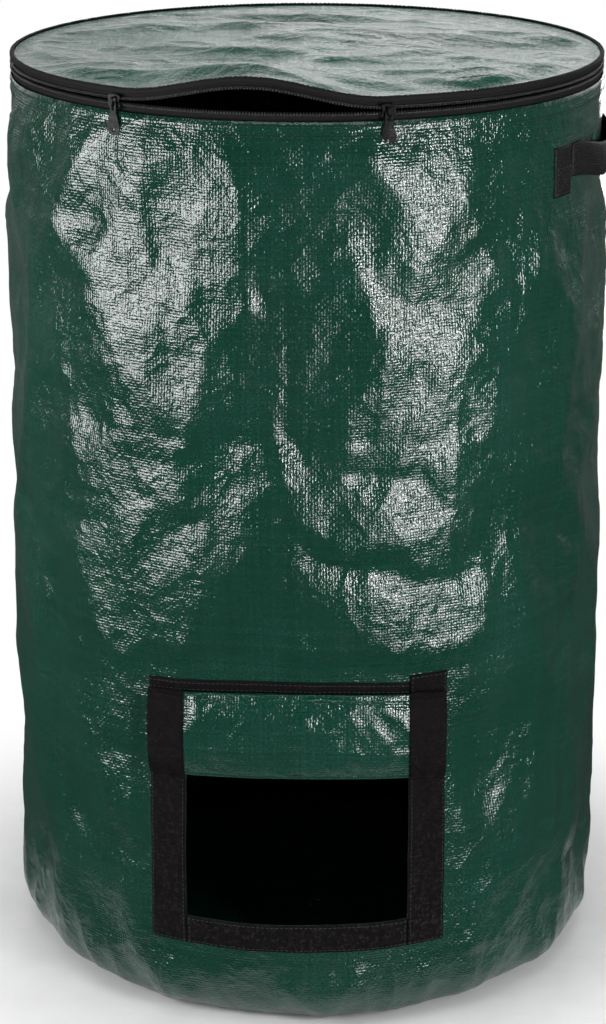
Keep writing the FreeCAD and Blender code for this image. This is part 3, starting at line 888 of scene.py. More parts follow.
def coil_finish(tree, place, cloth):
    """Black nylon with a soft shine and rubbed crowns."""
    worn = use_effect(tree, "edge_wear", Vector=place)["Mask"]
    grain = tree.noise(place, 700.0, detail=3.0)
    base = tree.mix(tree.times(worn, 0.6), (0.012, 0.012, 0.013), (0.06, 0.06, 0.06))
    return look(base, tree.ease(grain, 0.3, 0.7, 0.3, 0.5), 0.45, tree.bump(grain, 0.0001))


def lacquer_finish(tree, place, cloth):
    """Black lacquer over zinc, worn through along the edges."""
    worn = use_effect(tree, "edge_wear", Vector=place)["Mask"]
    dent = tree.noise(place, 260.0, detail=4.0)
    scratch = tree.ease(tree.noise(place, 1800.0), 0.62, 0.75)
    share = tree.math("MAXIMUM", tree.times(worn, 0.2), tree.times(scratch, 0.05))
    base = tree.mix(share, colours().metal, (0.16, 0.15, 0.14))
    rough = tree.ease(dent, 0.3, 0.7, 0.2, 0.36)
    return look(base, rough, 0.08, tree.bump(dent, 0.0002), Metallic=share)


def thread_finish(tree, place, cloth):
    """Twisted thread."""
    twist = tree.noise(place, 2600.0)
    base = tree.mix(twist, colours().thread, (0.05, 0.062, 0.058))
    return look(base, tree.ease(twist, 0.3, 0.7, 0.5, 0.75), 0.3, tree.bump(twist, 0.0002))


FINISHES = {
    "laminated_sheet": sheet_finish,
    "laminated_lid": lid_finish,
    "pressed_loops": hook_tape_finish,
    "black_webbing": webbing_finish,
    "knitted_tape": knit_tape_finish,
    "nylon_coil": coil_finish,
    "black_lacquer": lacquer_finish,
    "sewing_thread": thread_finish,
}


def finish(name):
    """Material of a finish, which is made when it is first used."""
    found = bpy.data.materials.get(name)
    if found:
        return found
    material = bpy.data.materials.new(name)
    material.use_nodes = True
    tree = Tree(material.node_tree)
    shader = material.node_tree.nodes["Principled BSDF"]
    place = tree.add("ShaderNodeTexCoord").outputs["Object"]
    cloth = tree.add("ShaderNodeUVMap", uv_map="cloth").outputs[0]
    for label, value in FINISHES[name](tree, place, cloth).items():
        tree.feed(shader.inputs[label], value)
    return material


# Rows of stitches and teeth along paths


def row_tree():
    """Geometry tree that sets small beads along a path, turned with it."""
    found = bpy.data.node_groups.get("beads_along_path")
    if found:
        return found
    group = bpy.data.node_groups.new("beads_along_path", "GeometryNodeTree")
    face = group.interface
    face.new_socket(name="Geometry", in_out="INPUT", socket_type="NodeSocketGeometry")
    for label in ("Spacing", "Length", "Width", "Depth"):
        face.new_socket(name=label, in_out="INPUT", socket_type="NodeSocketFloat")
    face.new_socket(name="Finish", in_out="INPUT", socket_type="NodeSocketMaterial")
    face.new_socket(name="Geometry", in_out="OUTPUT", socket_type="NodeSocketGeometry")
    tree = Tree(group)
    given = tree.add("NodeGroupInput").outputs
    path = tree.add("GeometryNodeMeshToCurve", {0: given["Geometry"]}).outputs[0]
    inputs = {"Curve": path, "Length": given["Spacing"]}
    spots = tree.add("GeometryNodeCurveToPoints", inputs, mode="LENGTH").outputs
    bead = tree.add("GeometryNodeMeshUVSphere", {"Radius": 0.5, "Segments": 8, "Rings": 5})
    inputs = {0: given["Depth"], 1: given["Width"], 2: given["Length"]}
    shape = tree.add("ShaderNodeCombineXYZ", inputs).outputs[0]
    inputs = {
        "Points": spots["Points"],
        "Instance": bead.outputs["Mesh"],
        "Rotation": spots["Rotation"],
        "Scale": shape,
    }
    rows = tree.add("GeometryNodeInstanceOnPoints", inputs).outputs[0]
    real = tree.add("GeometryNodeRealizeInstances", {0: rows}).outputs[0]
    inputs = {"Geometry": real, "Material": given["Finish"]}
    tree.add("NodeGroupOutput", {0: tree.add("GeometryNodeSetMaterial", inputs).outputs[0]})
    return group


def bead_row(name, lines, material, spacing, length, width, depth):
    """Piece made of beads along lines of points."""
    points, edges = [], []
    for line in lines:
        start = len(points)
        points += np.asarray(line, float).tolist()
        edges += [(start + i, start + i + 1) for i in range(len(line) - 1)]
    mesh = bpy.data.meshes.new(name)
    mesh.from_pydata(points, edges, [])
    shown = bpy.data.objects.new(name, mesh)
    bpy.context.scene.collection.objects.link(shown)
    rows = shown.modifiers.new("rows", "NODES")
    rows.node_group = row_tree()
    values = {
        "Spacing": spacing, "Length": length, "Width": width, "Depth": depth, "Finish": material
    }
    for item in rows.node_group.interface.items_tree:
        if item.in_out == "INPUT" and item.name in values:
            rows[item.identifier] = values[item.name]
    plain(shown)
    shown.data.polygons.foreach_set("use_smooth", [True] * len(shown.data.polygons))
    return shown


def thread_row(name, lines):
    """Piece made of stitches along lines of points."""
    pitch, thread = sizes().stitch, sizes().thread
    length = pitch * STITCH_SHARE
    return bead_row(name, lines, finish("sewing_thread"), pitch, length, thread, thread)


def stitches(name, lines):
    """Stitches along lines, which stay with the bag."""
    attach(thread_row(name, lines), "bag")


# The pieces


def make_wall():
    """Wall of one crumpled sheet, from the base seam up to the hem at the rim."""
    side = HATCH_INNER_ANGLE
    across = joined_steps(
        (-180, -106, -78, -side, side, 78, 106, 180), (3.2, 1.4, 0.7, 0.7, 0.7, 1.4, 3.2)
    )[:-1]
    up = joined_steps(
        (FOOT_CURVE, HATCH_SILL, OPENING_TOP, HEM_BOTTOM, RIM_HEIGHT),
        (0.0046, 0.0046, 0.0046, 0.004),
    )
    turns = np.linspace(0, math.pi / 2, 9)[:-1]
    rows = []
    for turn in turns:
        radius = FOOT_RADIUS - FOOT_CURVE + FOOT_CURVE * math.sin(turn)
        height = FOOT_CURVE * (1 - math.cos(turn))
        out = FOOT_CURVE * (turn - math.pi / 2)
        push = wall_relief(across, np.full(len(across), FOOT_CURVE + out))
        level = np.maximum(height - push * math.cos(turn), 0)
        rows.append(on_circle(across, radius + push * math.sin(turn), level))
    for height in up:
        hem = HEM_STEP * float(smooth(0.6893, 0.6899, height))
        rows.append(wall_place(across, np.full(len(across), height), hem))
    columns = len(across)
    length = np.concatenate([FOOT_CURVE + FOOT_CURVE * (turns - math.pi / 2), up])
    faces = []
    for face in grid_faces(len(rows), columns, closed=True):
        row, column = divmod(face[0], columns)
        following = across[(column + 1) % columns]
        inside = across[column] >= -side - 0.01 and -side < following <= side + 0.01
        if not (inside and HATCH_SILL - 1e-4 < length[row] < OPENING_TOP - 1e-4):
            faces.append(face)
    wide, high = np.meshgrid(across, length)
    uv = unrolled(MEAN_RADIUS)(wide.ravel(), high.ravel())
    wall = mesh_object("wall_cloth", np.concatenate(rows), faces, uv, finish("laminated_sheet"))
    mend_layout(wall, math.tau * MEAN_RADIUS)
    thicken(wall, sizes().sheet)
    seat(wall, "bag", "green_sheet", "body_wall")


def mend_layout(shown, width):
    """Straightens the layout of faces that cross the back, where it starts again."""
    layer = shown.data.uv_layers["cloth"]
    values = np.zeros(len(shown.data.loops) * 2, np.float32)
    layer.data.foreach_get("uv", values)
    across = values.reshape(-1, 4, 2)[:, :, 0]
    reach = across.max(axis=1, keepdims=True) - across.min(axis=1, keepdims=True)
    across += width * ((reach > width / 2) & (across < 0))
    layer.data.foreach_set("uv", values)


def make_back_seam():
    """Lap at the back, sewn down with two rows of stitches."""
    half = BACK_SEAM_HALF_ANGLE
    across = np.linspace(180 - half, 180 + half, 9)
    up = steps(0.03, BACK_SEAM_TOP, 0.0044)
    sheet = finish("laminated_sheet")
    lap = slab("back_seam_lap", wall_place, across, up, LAP_THICKNESS, sheet)
    seat(lap, "bag", "green_sheet", "back_seam")
    rows = [np.full(len(up), 180 + offset) for offset in (-half * 0.6, half * 0.6)]
    stitches("back_seam_stitches", [wall_place(row, up, OVER_LAP) for row in rows])


def disc(radius, cells):
    """Points and faces of a flat disc of four-sided faces, without a pole."""
    line = np.linspace(-1, 1, cells + 1)
    a, b = (part.ravel() for part in np.meshgrid(line, line))
    wide = np.abs(a) > np.abs(b)
    reach = np.where(wide, a, b)
    other = np.where(wide, b, a)
    turn = math.pi / 4 * np.divide(other, reach, out=np.zeros_like(reach), where=reach != 0)
    first, second = reach * np.cos(turn), reach * np.sin(turn)
    x, y = np.where(wide, first, second), np.where(wide, second, first)
    return np.stack([x, y, 0 * x], axis=-1) * radius, grid_faces(cells + 1, cells + 1)


def make_base():
    """Base panel, flat on the ground, with its bound seam inside."""
    points, faces = disc(FOOT_RADIUS - FOOT_CURVE - 0.0001, 48)
    ripple = np.maximum(0, gradient_noise(points / 0.045, 91)) * 0.0012
    reach = np.hypot(points[:, 0], points[:, 1])
    points[:, 2] = BASE_THICKNESS + ripple * (1 - smooth(0.17, 0.2, reach))
    base = mesh_object("base_cloth", points, faces, points[:, :2], finish("laminated_sheet"))
    thicken(base, BASE_THICKNESS)
    seat(base, "bag", "green_sheet", "base_panel")

    def place(azimuth, height, lift):
        wave = 0.0006 * gradient_noise(on_circle(azimuth, 0.2, height) / 0.02, 5)
        return on_circle(azimuth, BASE_TAPE_RADIUS + lift + wave, height)

    around = np.linspace(-180, 180, 181)[:-1]
    up = np.linspace(0.00105, 0.011, 5)
    knit = finish("knitted_tape")
    binding = slab("base_seam_tape", place, around, up, BASE_TAPE_THICKNESS, knit, closed=True)
    seat(binding, "bag", "edge_binding", "base_seam_binding")


def lid_edge(azimuth, radius, rise):
    """Points near the lid's edge, over its underside by a rise."""
    points = on_circle(azimuth, radius, 0)
    points[..., 2] = lid_level(points[..., 0], points[..., 1]) + rise
    return points


def make_lid():
    """Lid of one round sheet, wrinkled along its pull, and the tape over its edge."""
    points, faces = disc(RIM_RADIUS, 150)
    x, y = points[:, 0], points[:, 1]
    points[:, 2] = lid_level(x, y) + CLOTH_LIFT + lid_relief(x, y)
    lid = mesh_object("lid_cloth", points, faces, points[:, :2], finish("laminated_lid"))
    thicken(lid, sizes().sheet)
    fold_blend(lid)
    dress(lid, "green_sheet", "lid_panel", "lid_back_panel")

    around = np.linspace(-180, 180, 361)[:-1]
    pucker = 1 + 0.16 * gradient_noise(on_circle(around, RIM_RADIUS, 0) / 0.006, 17)
    rows = [
        lid_edge(around, radius, rise * (pucker if rise > 0 else 1))
        for radius, rise in LID_TAPE_OUTLINE
    ]
    size = len(rows) * len(around)
    faces = grid_faces(len(rows) + 1, len(around), closed=True)
    faces = [tuple(index % size for index in reversed(face)) for face in faces]
    wide, high = np.meshgrid(around, np.arange(len(rows)) * 0.0012)
    uv = unrolled(RIM_RADIUS)(wide.ravel(), high.ravel())
    tape = mesh_object("lid_edge_tape", np.concatenate(rows), faces, uv, finish("knitted_tape"))
    fold_blend(tape)
    dress(tape, "edge_binding", "lid_binding", "lid_back_binding")
    turn = np.linspace(-180, 180, 721)
    fold_blend(thread_row("lid_edge_stitches", [lid_edge(turn, *LID_STITCHES)]))


def fold_blend(shown):
    """Bakes the placement of a piece of the lid into its mesh."""
    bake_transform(shown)


def make_lid_back_strip():
    """Cloth behind the zip's ends, which joins lid and wall."""
    around = np.linspace(LID_FOLD_AZIMUTH, 360 - LID_FOLD_AZIMUTH, 100)
    up = np.linspace(*LID_BAND_HEIGHTS, 5)
    sheet = finish("laminated_sheet")
    strip = slab("lid_back_strip", ring(LID_BAND_RADIUS), around, up, LAP_THICKNESS, sheet)
    seat(strip, "bag", "green_sheet", "lid_back_band")


def make_zip():
    """Two knitted tapes with a row of coil turns on each, and the folds over the zip's ends."""
    knit, coil = finish("knitted_tape"), finish("nylon_coil")
    half_turn = math.degrees(math.acos(-(LID_FOLD_Y - ZIP_FOLD_GAP) / ZIP_FACE_RADIUS))

    def upper(azimuth, height, lift):
        return lid_edge(azimuth, ZIP_TAPE_RADIUS + lift, height)

    for side, body, place, reach, levels in (
        ("lower", "bag", ring(ZIP_TAPE_RADIUS), LID_FOLD_AZIMUTH, (HEM_BOTTOM, ZIP_TAPE_TOP, 8)),
        ("upper", "lid", upper, half_turn, (-0.0064, -0.0001, 5)),
    ):
        across, up = np.linspace(-reach, reach, 281), np.linspace(*levels)
        tape = slab(f"zip_tape_{side}_knit", place, across, up, KNIT_THICKNESS, knit)
        seat(tape, body, "zip_tape", "zip_tape_" + side)

    pitch = sizes().tooth_pitch
    turn = np.linspace(-ZIP_END_AZIMUTH, ZIP_END_AZIMUTH, 901)
    for side, body, path, shift in (
        ("lower", "bag", on_circle(turn, ZIP_COIL_RADIUS, LOWER_COIL_HEIGHT), -CORE_SHIFT),
        ("upper", "lid", lid_edge(turn, ZIP_COIL_RADIUS, UPPER_COIL_DROP), CORE_SHIFT),
    ):
        name = "zip_teeth_" + side
        teeth = bead_row(name, [path], coil, pitch, pitch * TOOTH_SHARE, *TOOTH_SECTION)
        seat(teeth, body, "zip_coil", "zip_coil_" + side)
        core = bead_row(name + "_core", [path + (0, 0, shift)], coil, CORE_PITCH, *CORE_BEAD)
        seat(core, body, "zip_coil")

    up = np.linspace(ZIP_TAB_BOTTOM, ZIP_TAPE_TOP, 6)
    place = ring(ZIP_FACE_RADIUS)
    for side, ends in ZIP_TABS.items():
        across = np.linspace(*ends, 9)
        piece = slab("zip_end_fold_" + side, place, across, up, ZIP_TAB_THICKNESS, knit)
        seat(piece, "bag", "zip_tape", "zip_end_tab_" + side)


def make_sliders():
    """Zip sliders and pull tabs keep their solids and get black lacquer."""
    lacquer = finish("black_lacquer")
    for name in ("slider_body_left", "pull_tab_left", "slider_body_right", "pull_tab_right"):
        node = nodes[name]
        node.data.materials.clear()
        node.data.materials.append(lacquer)
        weld = node.modifiers.new("weld", "WELD")
        weld.merge_threshold = WELD_DISTANCE
        bevel = node.modifiers.new("rounded", "BEVEL")
        bevel.width = ROUNDED_WIDTH
        bevel.segments = 2
        bevel.angle_limit = math.radians(ROUNDED_ABOVE)
        bevel.harden_normals = False


def make_hatch_tapes():
    """Hook-and-loop tapes round the opening, and the strip that holds the flap, which is drawn
    black as painted shadow.
    """
    loops = finish("pressed_loops")
    outer, inner = HATCH_HALF_ANGLE, HATCH_INNER_ANGLE
    lines = []
    for side, start, end, low, high in (
        ("left", -outer, -inner, HATCH_BOTTOM, HATCH_TOP - 0.0001),
        ("right", inner, outer, HATCH_BOTTOM, RIGHT_TAPE_TOP),
        ("bottom", -inner + 0.1, inner - 0.1, HATCH_BOTTOM, HATCH_SILL),
    ):
        name = "hatch_tape_" + side
        across, up = steps(start, end, 0.5), steps(low, high, 0.0022)
        piece = slab(name + "_loops", fuzzy_place, across, up, HOOK_THICKNESS, loops)
        seat(piece, "bag", "hook_tape", name)
        lines += rectangle(start + 0.5, end - 0.5, low + 0.002, high - 0.002, OVER_TAPE)
    across = steps(-outer, inner - 0.1, 0.8)
    up = np.linspace(HATCH_TOP, HATCH_TOP + SEAM_WIDTH, 6)
    # The seam strip is green cloth, but gets the black loops: painted shadow of the crevice over
    # the rolled flap.
    strip = slab("flap_seam_painted_shadow_strip", seam_place, across, up, SEAM_THICKNESS, loops)
    seat(strip, "bag", "green_sheet", "hatch_top_strip")
    stitches("hatch_tape_stitches", lines)
    across = steps(-outer + 0.5, inner - 0.6, 1)
    lines = [seam_place(across, HATCH_TOP + rise, OVER_SEAM) for rise in SEAM_STITCHES]
    stitches("flap_seam_stitches", lines)


def seam_place(azimuth, height, lift):
    """Points on the wall's cloth along the arched seam over the hatch."""
    return wall_place(azimuth, height + arched(azimuth), lift)


def fuzzy_place(azimuth, height, lift):
    """Points on the wall's cloth, uneven on the outer face, as pressed loops are."""
    points = wall_place(azimuth, height, lift)
    rough = gradient_noise(points / 0.0035, 23) + 0.6 * gradient_noise(points / 0.0016, 29)
    share = np.where(lift > 0.0012, 0.00012, 0.0)
    out = points * (1, 1, 0)
    out /= np.linalg.norm(out, axis=-1, keepdims=True)
    return points + out * (rough * share)[..., None]


def rectangle(start, end, low, high, lift):
    """Four lines of points round a rectangle on the wall."""
    across, up = steps(start, end, 0.8), steps(low, high, 0.003)
    sides = ((across, low), (across, high), (start, up), (end, up))
    return [wall_place(azimuth, height, lift) for azimuth, height in sides]


def roll_path():
    """Middle line of the rolled flap: offset from the wall and height, top to free end."""
    def turn(low, high, level, side):
        middle, reach = (low + high) / 2, (high - low) / 2
        angles = np.linspace(0, math.pi, 12)[1:-1]
        rise = side * abs(reach)
        return [(middle - reach * math.cos(a), level + rise * math.sin(a)) for a in angles]

    back, inside, front = ROLL_OFFSETS
    low, high = FLAP_LOW + ROLL_RISE, FLAP_HIGH + ROLL_RISE
    path = [(back, z) for z in np.linspace(FLAP_HINGE, low, 18)]
    path += turn(back, front + 0.0002, low, -1)
    for z in np.linspace(low, high, 30):
        share = (z - low) / (high - low)
        path.append((front + ROLL_BULGE * (4 * share * (1 - share)) ** 0.7, z))
    path += turn(front, inside, high, 1)
    path += [(inside, z) for z in np.linspace(high, ROLL_END, 18)]
    return np.array(path)


def arched(azimuth):
    """How much higher the seam over the hatch runs in the middle than at its ends."""
    return SEAM_ARCH * np.cos(np.clip(azimuth / HATCH_HALF_ANGLE, -1, 1) * math.pi / 2)


def make_flap():
    """Flap of the hatch, rolled up in three layers, with tape down both sides."""
    path = roll_path()
    along = np.concatenate([[0], np.cumsum(np.hypot(*np.diff(path, axis=0).T))])
    tangent = np.gradient(path, axis=0)
    tangent /= np.linalg.norm(tangent, axis=1)[:, None]
    side = np.stack([tangent[:, 1], -tangent[:, 0]], axis=1)
    base = float(wall_radius(FLAP_MIDDLE))

    def place(azimuth, station, lift):
        offset, height = (
            np.interp(station, along, path[:, k]) + lift * np.interp(station, along, side[:, k])
            for k in (0, 1)
        )
        front = smooth(0.0075, 0.0095, offset)
        spot = on_circle(azimuth, 0.24, height)
        wave = gradient_noise(spot / (0.05, 0.03, 0.02), 33)
        crease = crumpled(spot, 0.024, 37) - 0.5
        offset = offset + front * (0.0016 * wave + 0.0016 * crease)
        offset = offset + front_dent(azimuth, height)
        height = height + arched(azimuth) + front * 0.001 * gradient_noise(spot / 0.06, 39)
        return on_circle(azimuth * (base + 0.001) / (base + offset), base + offset, height)

    full, inner, end = HATCH_HALF_ANGLE, HATCH_INNER_ANGLE, along[-1]
    sheet, loops = finish("laminated_sheet"), finish("pressed_loops")
    off_seam = along[3:]
    at_end = np.linspace(end - 0.025, end - 0.0004, 8)
    tapes = {
        "left": (steps(-full, -inner, 0.5), off_seam),
        "right": (steps(inner, full, 0.5), off_seam),
        "bottom": (steps(-inner + 0.1, inner - 0.1, 0.8), at_end),
    }
    layout = unrolled(FLAP_RADIUS)

    def in_cloth(azimuth, station, lift):
        return place(azimuth, station, lift - FLAP_THICKNESS / 2)

    def on_cloth(azimuth, station, lift):
        return place(azimuth, station, 0.0005 + lift)

    across = steps(-full, full, 0.55)
    cloth = slab("flap_cloth", in_cloth, across, along, FLAP_THICKNESS, sheet, layout)
    parts = [(cloth, "green_sheet", "hatch_flap")]
    thickness = FLAP_HOOK_THICKNESS
    for name, (across, stations) in tapes.items():
        node = "flap_tape_" + name
        piece = slab(node + "_hooks", on_cloth, across, stations, thickness, loops, layout)
        parts.append((piece, "hook_tape", node))
    for piece, slot, node in parts:
        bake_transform(piece)
        dress(piece, slot, node)


def webbing_half_angle():
    """Half the webbing's width, in degrees round the bag."""
    return math.degrees(WEBBING_WIDTH / wall_radius(HATCH_BOTTOM)) / 2


def make_handles():
    """Webbing handles: a bowed strap between two ends that are turned down and sewn."""
    webbing = finish("black_webbing")
    for side, middle in HANDLE_AZIMUTHS.items():
        make_handle_ends(side, middle, webbing)
        make_strap(side, middle, webbing)


def make_handle_ends(side, middle, webbing):
    """Both ends of a handle, each sewn down with a crossed box."""
    half = webbing_half_angle()
    forward = -HANDLE_HALF_ANGLE if side == "right" else HANDLE_HALF_ANGLE
    low = HANDLE_TOP - HANDLE_END_LENGTH
    up = steps(low, HANDLE_TOP, 0.0022)
    bottom, top = low + 0.0025, low + 0.021
    share = np.linspace(0, 1, 8)
    lines = []
    for place_name, centre in (("front", middle + forward), ("rear", middle - forward)):
        name = f"handle_end_{place_name}_{side}"
        across = steps(centre - half, centre + half, 0.6)
        end = slab(name + "_webbing", wall_place, across, up, WEBBING_THICKNESS, webbing)
        seat(end, "bag", "webbing", name)
        left, right = centre - half * 0.75, centre + half * 0.75
        lines += rectangle(left, right, bottom, top, OVER_TAPE)
        for first, last in ((left, right), (right, left)):
            rise = bottom + (top - bottom) * share
            lines.append(wall_place(first + (last - first) * share, rise, OVER_TAPE))
    stitches(f"handle_stitches_{side}", lines)


def make_strap(side, middle, webbing):
    """Free webbing, which bows out from the wall."""
    half = math.radians(HANDLE_HALF_ANGLE - webbing_half_angle() - 0.15)
    low = HANDLE_TOP - WEBBING_WIDTH
    near = float(wall_radius(low)) + 0.0004
    rise = near + STRAP_BOW - near * math.cos(half)
    span = near * math.sin(half)
    radius = (span**2 + rise**2) / (2 * rise)
    centre = near + STRAP_BOW - radius
    reach = math.degrees(math.asin(span / radius))
    angle = math.radians(middle)
    out = np.array([math.sin(angle), -math.cos(angle), 0])
    along = np.array([math.cos(angle), math.sin(angle), 0])

    def place(turn, height, lift):
        bend = np.radians(turn)
        bow = np.cos(bend * 90 / reach)
        edge = np.clip((height - low) / WEBBING_WIDTH, 0, 1)
        lean = 0.0012 * np.sin(np.pi * edge) * bow
        wave = 0.0007 * gradient_noise(on_circle(turn * 2, 0.1, height) / 0.02, 41)
        far = radius + lift + lean + wave * bow
        flat = far[..., None] * (np.cos(bend)[..., None] * out + np.sin(bend)[..., None] * along)
        flat = flat + centre * out
        flat[..., 2] = height - STRAP_SAG * bow**2
        return flat

    strap = slab(
        f"handle_strap_{side}_webbing", place, steps(-reach, reach, reach / 34),
        np.linspace(low, HANDLE_TOP, 13), WEBBING_THICKNESS, webbing, unrolled(radius),
    )
    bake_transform(strap)
    dress(strap, "webbing", "handle_strap_" + side)


def make_rim_stitches():
    """Two rows of stitches round the hem."""
    turn = np.linspace(-180, 180, 721)
    lines = [wall_place(turn, height, OVER_HEM) for height in HEM_STITCHES]
    stitches("rim_hem_stitches", lines)


# The studio

# Lamps: name, azimuth, distance, height, height aimed at, size, and share of the set power
LAMPS = (
    ("lamp_left", -58, 1.15, 0.56, 0.5, (0.75, 0.4), 2.2),
    ("lamp_left_low", -60, 1.15, 0.28, 0.3, (0.5, 0.16), 0.06),
    ("lamp_right", 42, 1.15, 0.56, 0.5, (0.32, 0.36), 1.45),
    ("lamp_right_low", 36, 1.15, 0.24, 0.3, (0.5, 0.18), 0.5),
    ("lamp_rear_left", -166, 1.4, 0.36, 0.36, (0.2, 0.5), 0.6),
    ("lamp_rear_right", 163, 1.4, 0.36, 0.36, (0.2, 0.5), 0.6),
    ("lamp_top", 0, 0.3, 1.9, 0.4, (1.1, 1.1), 1.5),
    ("lamp_rear", 163, 2.3, 1.35, 0.7, (2.0, 0.7), 1.15),
)
# Height of the camera's frame in mm, and shift of the picture as shares of its height
FRAME_HEIGHT = 36
CAMERA_SHIFT = (-4.0 / 1024, 2.0 / 1024)
# Half the side of the floor, which lies a millimetre under the bag
FLOOR_HALF_SIDE = 12.0
FLOOR_LEVEL = -0.001


def make_stage():
    """Pale floor, soft lamps and the camera at the photograph's angle."""
    scene = bpy.context.scene
    scene.view_settings.view_transform = "Standard"
    studio = scene.compost_bag_studio
    make_floor()
    make_world()
    for name, azimuth, distance, height, aim, size, share in LAMPS:
        lamp = bpy.data.lights.new(name, "AREA")
        lamp.shape = "RECTANGLE"
        lamp.size, lamp.size_y = size
        lamp.energy = share * studio.lamp_power
        shown = bpy.data.objects.new(name, lamp)
        scene.collection.objects.link(shown)
        shown.location = on_circle(np.array([azimuth]), distance, height)[0]
        aimed = Vector((0, 0, aim)) - shown.location
        shown.rotation_euler = aimed.to_track_quat("-Z", "Y").to_euler()
        shown.visible_camera = False
    camera = bpy.data.cameras.new("camera")
    camera.sensor_fit = "VERTICAL"
    camera.sensor_height = FRAME_HEIGHT
    camera.lens = studio.lens
    camera.shift_x, camera.shift_y = CAMERA_SHIFT
    shown = bpy.data.objects.new("camera", camera)
    scene.collection.objects.link(shown)
    turn, distance = studio.azimuth, studio.distance
    shown.location = (distance * math.sin(turn), -distance * math.cos(turn), studio.height)
    shown.rotation_euler = (math.pi / 2 - studio.pitch, 0, turn)
    scene.camera = shown


def make_floor():
    """Pale floor with the bag's shadow, which runs into a white background further out."""
    signs = ((-1, -1), (1, -1), (1, 1), (-1, 1))
    corners = [(x * FLOOR_HALF_SIDE, y * FLOOR_HALF_SIDE, FLOOR_LEVEL) for x, y in signs]
    material = bpy.data.materials.new("pale_floor")
    material.use_nodes = True
    tree = Tree(material.node_tree)
    paint = material.node_tree.nodes["Principled BSDF"]
    place = tree.add("ShaderNodeTexCoord").outputs["Object"]
    grain = tree.ease(tree.noise(place, 30.0, detail=3.0), 0.3, 0.7)
    tree.feed(paint.inputs["Base Color"], tree.mix(grain, colours().floor, (0.84, 0.84, 0.84)))
    paint.inputs["Roughness"].default_value = 0.7
    paint.inputs["Specular IOR Level"].default_value = 0.1
    length = tree.add("ShaderNodeVectorMath", {0: place}, operation="LENGTH")
    distance = length.outputs["Value"]
    behind = tree.ease(tree.axes(place)[1], 0.3, 1.8, 0.05, 0.12)
    seen, gloss = seen_rays(tree)
    strength = tree.math("MAXIMUM", seen, tree.times(gloss, behind))
    white = tree.add("ShaderNodeEmission", {"Strength": strength})
    far = tree.times(tree.ease(distance, 0.22, 0.46), seen)
    far_in_gloss = tree.times(tree.ease(distance, 0.23, 0.32), gloss)
    share = tree.math("MAXIMUM", far, far_in_gloss)
    join = tree.add("ShaderNodeMixShader", {0: share, 1: paint.outputs[0], 2: white.outputs[0]})
    tree.feed(material.node_tree.nodes["Material Output"].inputs["Surface"], join.outputs[0])
    mesh_object("floor", corners, [(0, 1, 2, 3)], None, material)


def seen_rays(tree):
    """Masks of the rays that see the background directly or through glass, and in gloss."""
    ray = tree.add("ShaderNodeLightPath").outputs
    seen = tree.math("MAXIMUM", ray["Is Camera Ray"], ray["Is Transmission Ray"])
    return seen, ray["Is Glossy Ray"]


def make_world():
    """White for the camera, and a softer light on the bag that is stronger behind it."""
    world = bpy.data.worlds.new("studio")
    bpy.context.scene.world = world
    world.use_nodes = True
    tree = Tree(world.node_tree)
    background = world.node_tree.nodes["Background"]
    ways = tree.axes(tree.add("ShaderNodeTexCoord").outputs["Generated"])
    behind = tree.ease(ways[1], 0.3, 0.9, 0.06, 1.0)
    behind = tree.times(behind, tree.ease(ways[2], 0.3, 0.7, 1.0, 0.15))
    background.inputs["Color"].default_value = (1, 1, 1, 1)
    seen, gloss = seen_rays(tree)
    strength = tree.math("MAXIMUM", seen, tree.times(gloss, behind))
    level = tree.ease(ways[1], -0.4, 0.6, 0.33, 0.55)
    level = tree.times(level, tree.math("SUBTRACT", 1.0, gloss))
    tree.feed(background.inputs["Strength"], tree.math("MAXIMUM", strength, level))


# Operators, panel and registration


class COMPOST_BAG_OT_back_seam(bpy.types.Operator):
    """Lay the lap seam down the back"""

    bl_idname = "compost_bag.back_seam"
    bl_label = "Back seam"
    bl_options = {"REGISTER", "UNDO"}

    def execute(self, context):
        make_back_seam()
        return {"FINISHED"}


class COMPOST_BAG_OT_base(bpy.types.Operator):
    """Make the base panel and its bound seam"""

    bl_idname = "compost_bag.base"
    bl_label = "Base"
    bl_options = {"REGISTER", "UNDO"}

    def execute(self, context):
        make_base()
        return {"FINISHED"}


class COMPOST_BAG_OT_wall(bpy.types.Operator):
    """Make the crumpled wall with its hatch opening"""

    bl_idname = "compost_bag.wall"
    bl_label = "Wall"
    bl_options = {"REGISTER", "UNDO"}

    def execute(self, context):
        make_wall()
        return {"FINISHED"}


class COMPOST_BAG_OT_lid_back_strip(bpy.types.Operator):
    """Join lid and wall at the back"""

    bl_idname = "compost_bag.lid_back_strip"
    bl_label = "Lid back strip"
    bl_options = {"REGISTER", "UNDO"}

    def execute(self, context):
        make_lid_back_strip()
        return {"FINISHED"}


class COMPOST_BAG_OT_zip(bpy.types.Operator):
    """Make both zip tapes with their teeth and end folds"""

    bl_idname = "compost_bag.zip"
    bl_label = "Zip"
    bl_options = {"REGISTER", "UNDO"}

    def execute(self, context):
        make_zip()
        return {"FINISHED"}


class COMPOST_BAG_OT_lid(bpy.types.Operator):
    """Make the wrinkled lid and the tape over its edge"""

    bl_idname = "compost_bag.lid"
    bl_label = "Lid"
    bl_options = {"REGISTER", "UNDO"}

    def execute(self, context):
        make_lid()
        return {"FINISHED"}


class COMPOST_BAG_OT_sliders(bpy.types.Operator):
    """Lacquer the sliders and pull tabs"""

    bl_idname = "compost_bag.sliders"
    bl_label = "Sliders"
    bl_options = {"REGISTER", "UNDO"}

    def execute(self, context):
        make_sliders()
        return {"FINISHED"}


class COMPOST_BAG_OT_hatch_tapes(bpy.types.Operator):
    """Sew the tapes round the hatch"""

    bl_idname = "compost_bag.hatch_tapes"
    bl_label = "Hatch tapes"
    bl_options = {"REGISTER", "UNDO"}

    def execute(self, context):
        make_hatch_tapes()
        return {"FINISHED"}


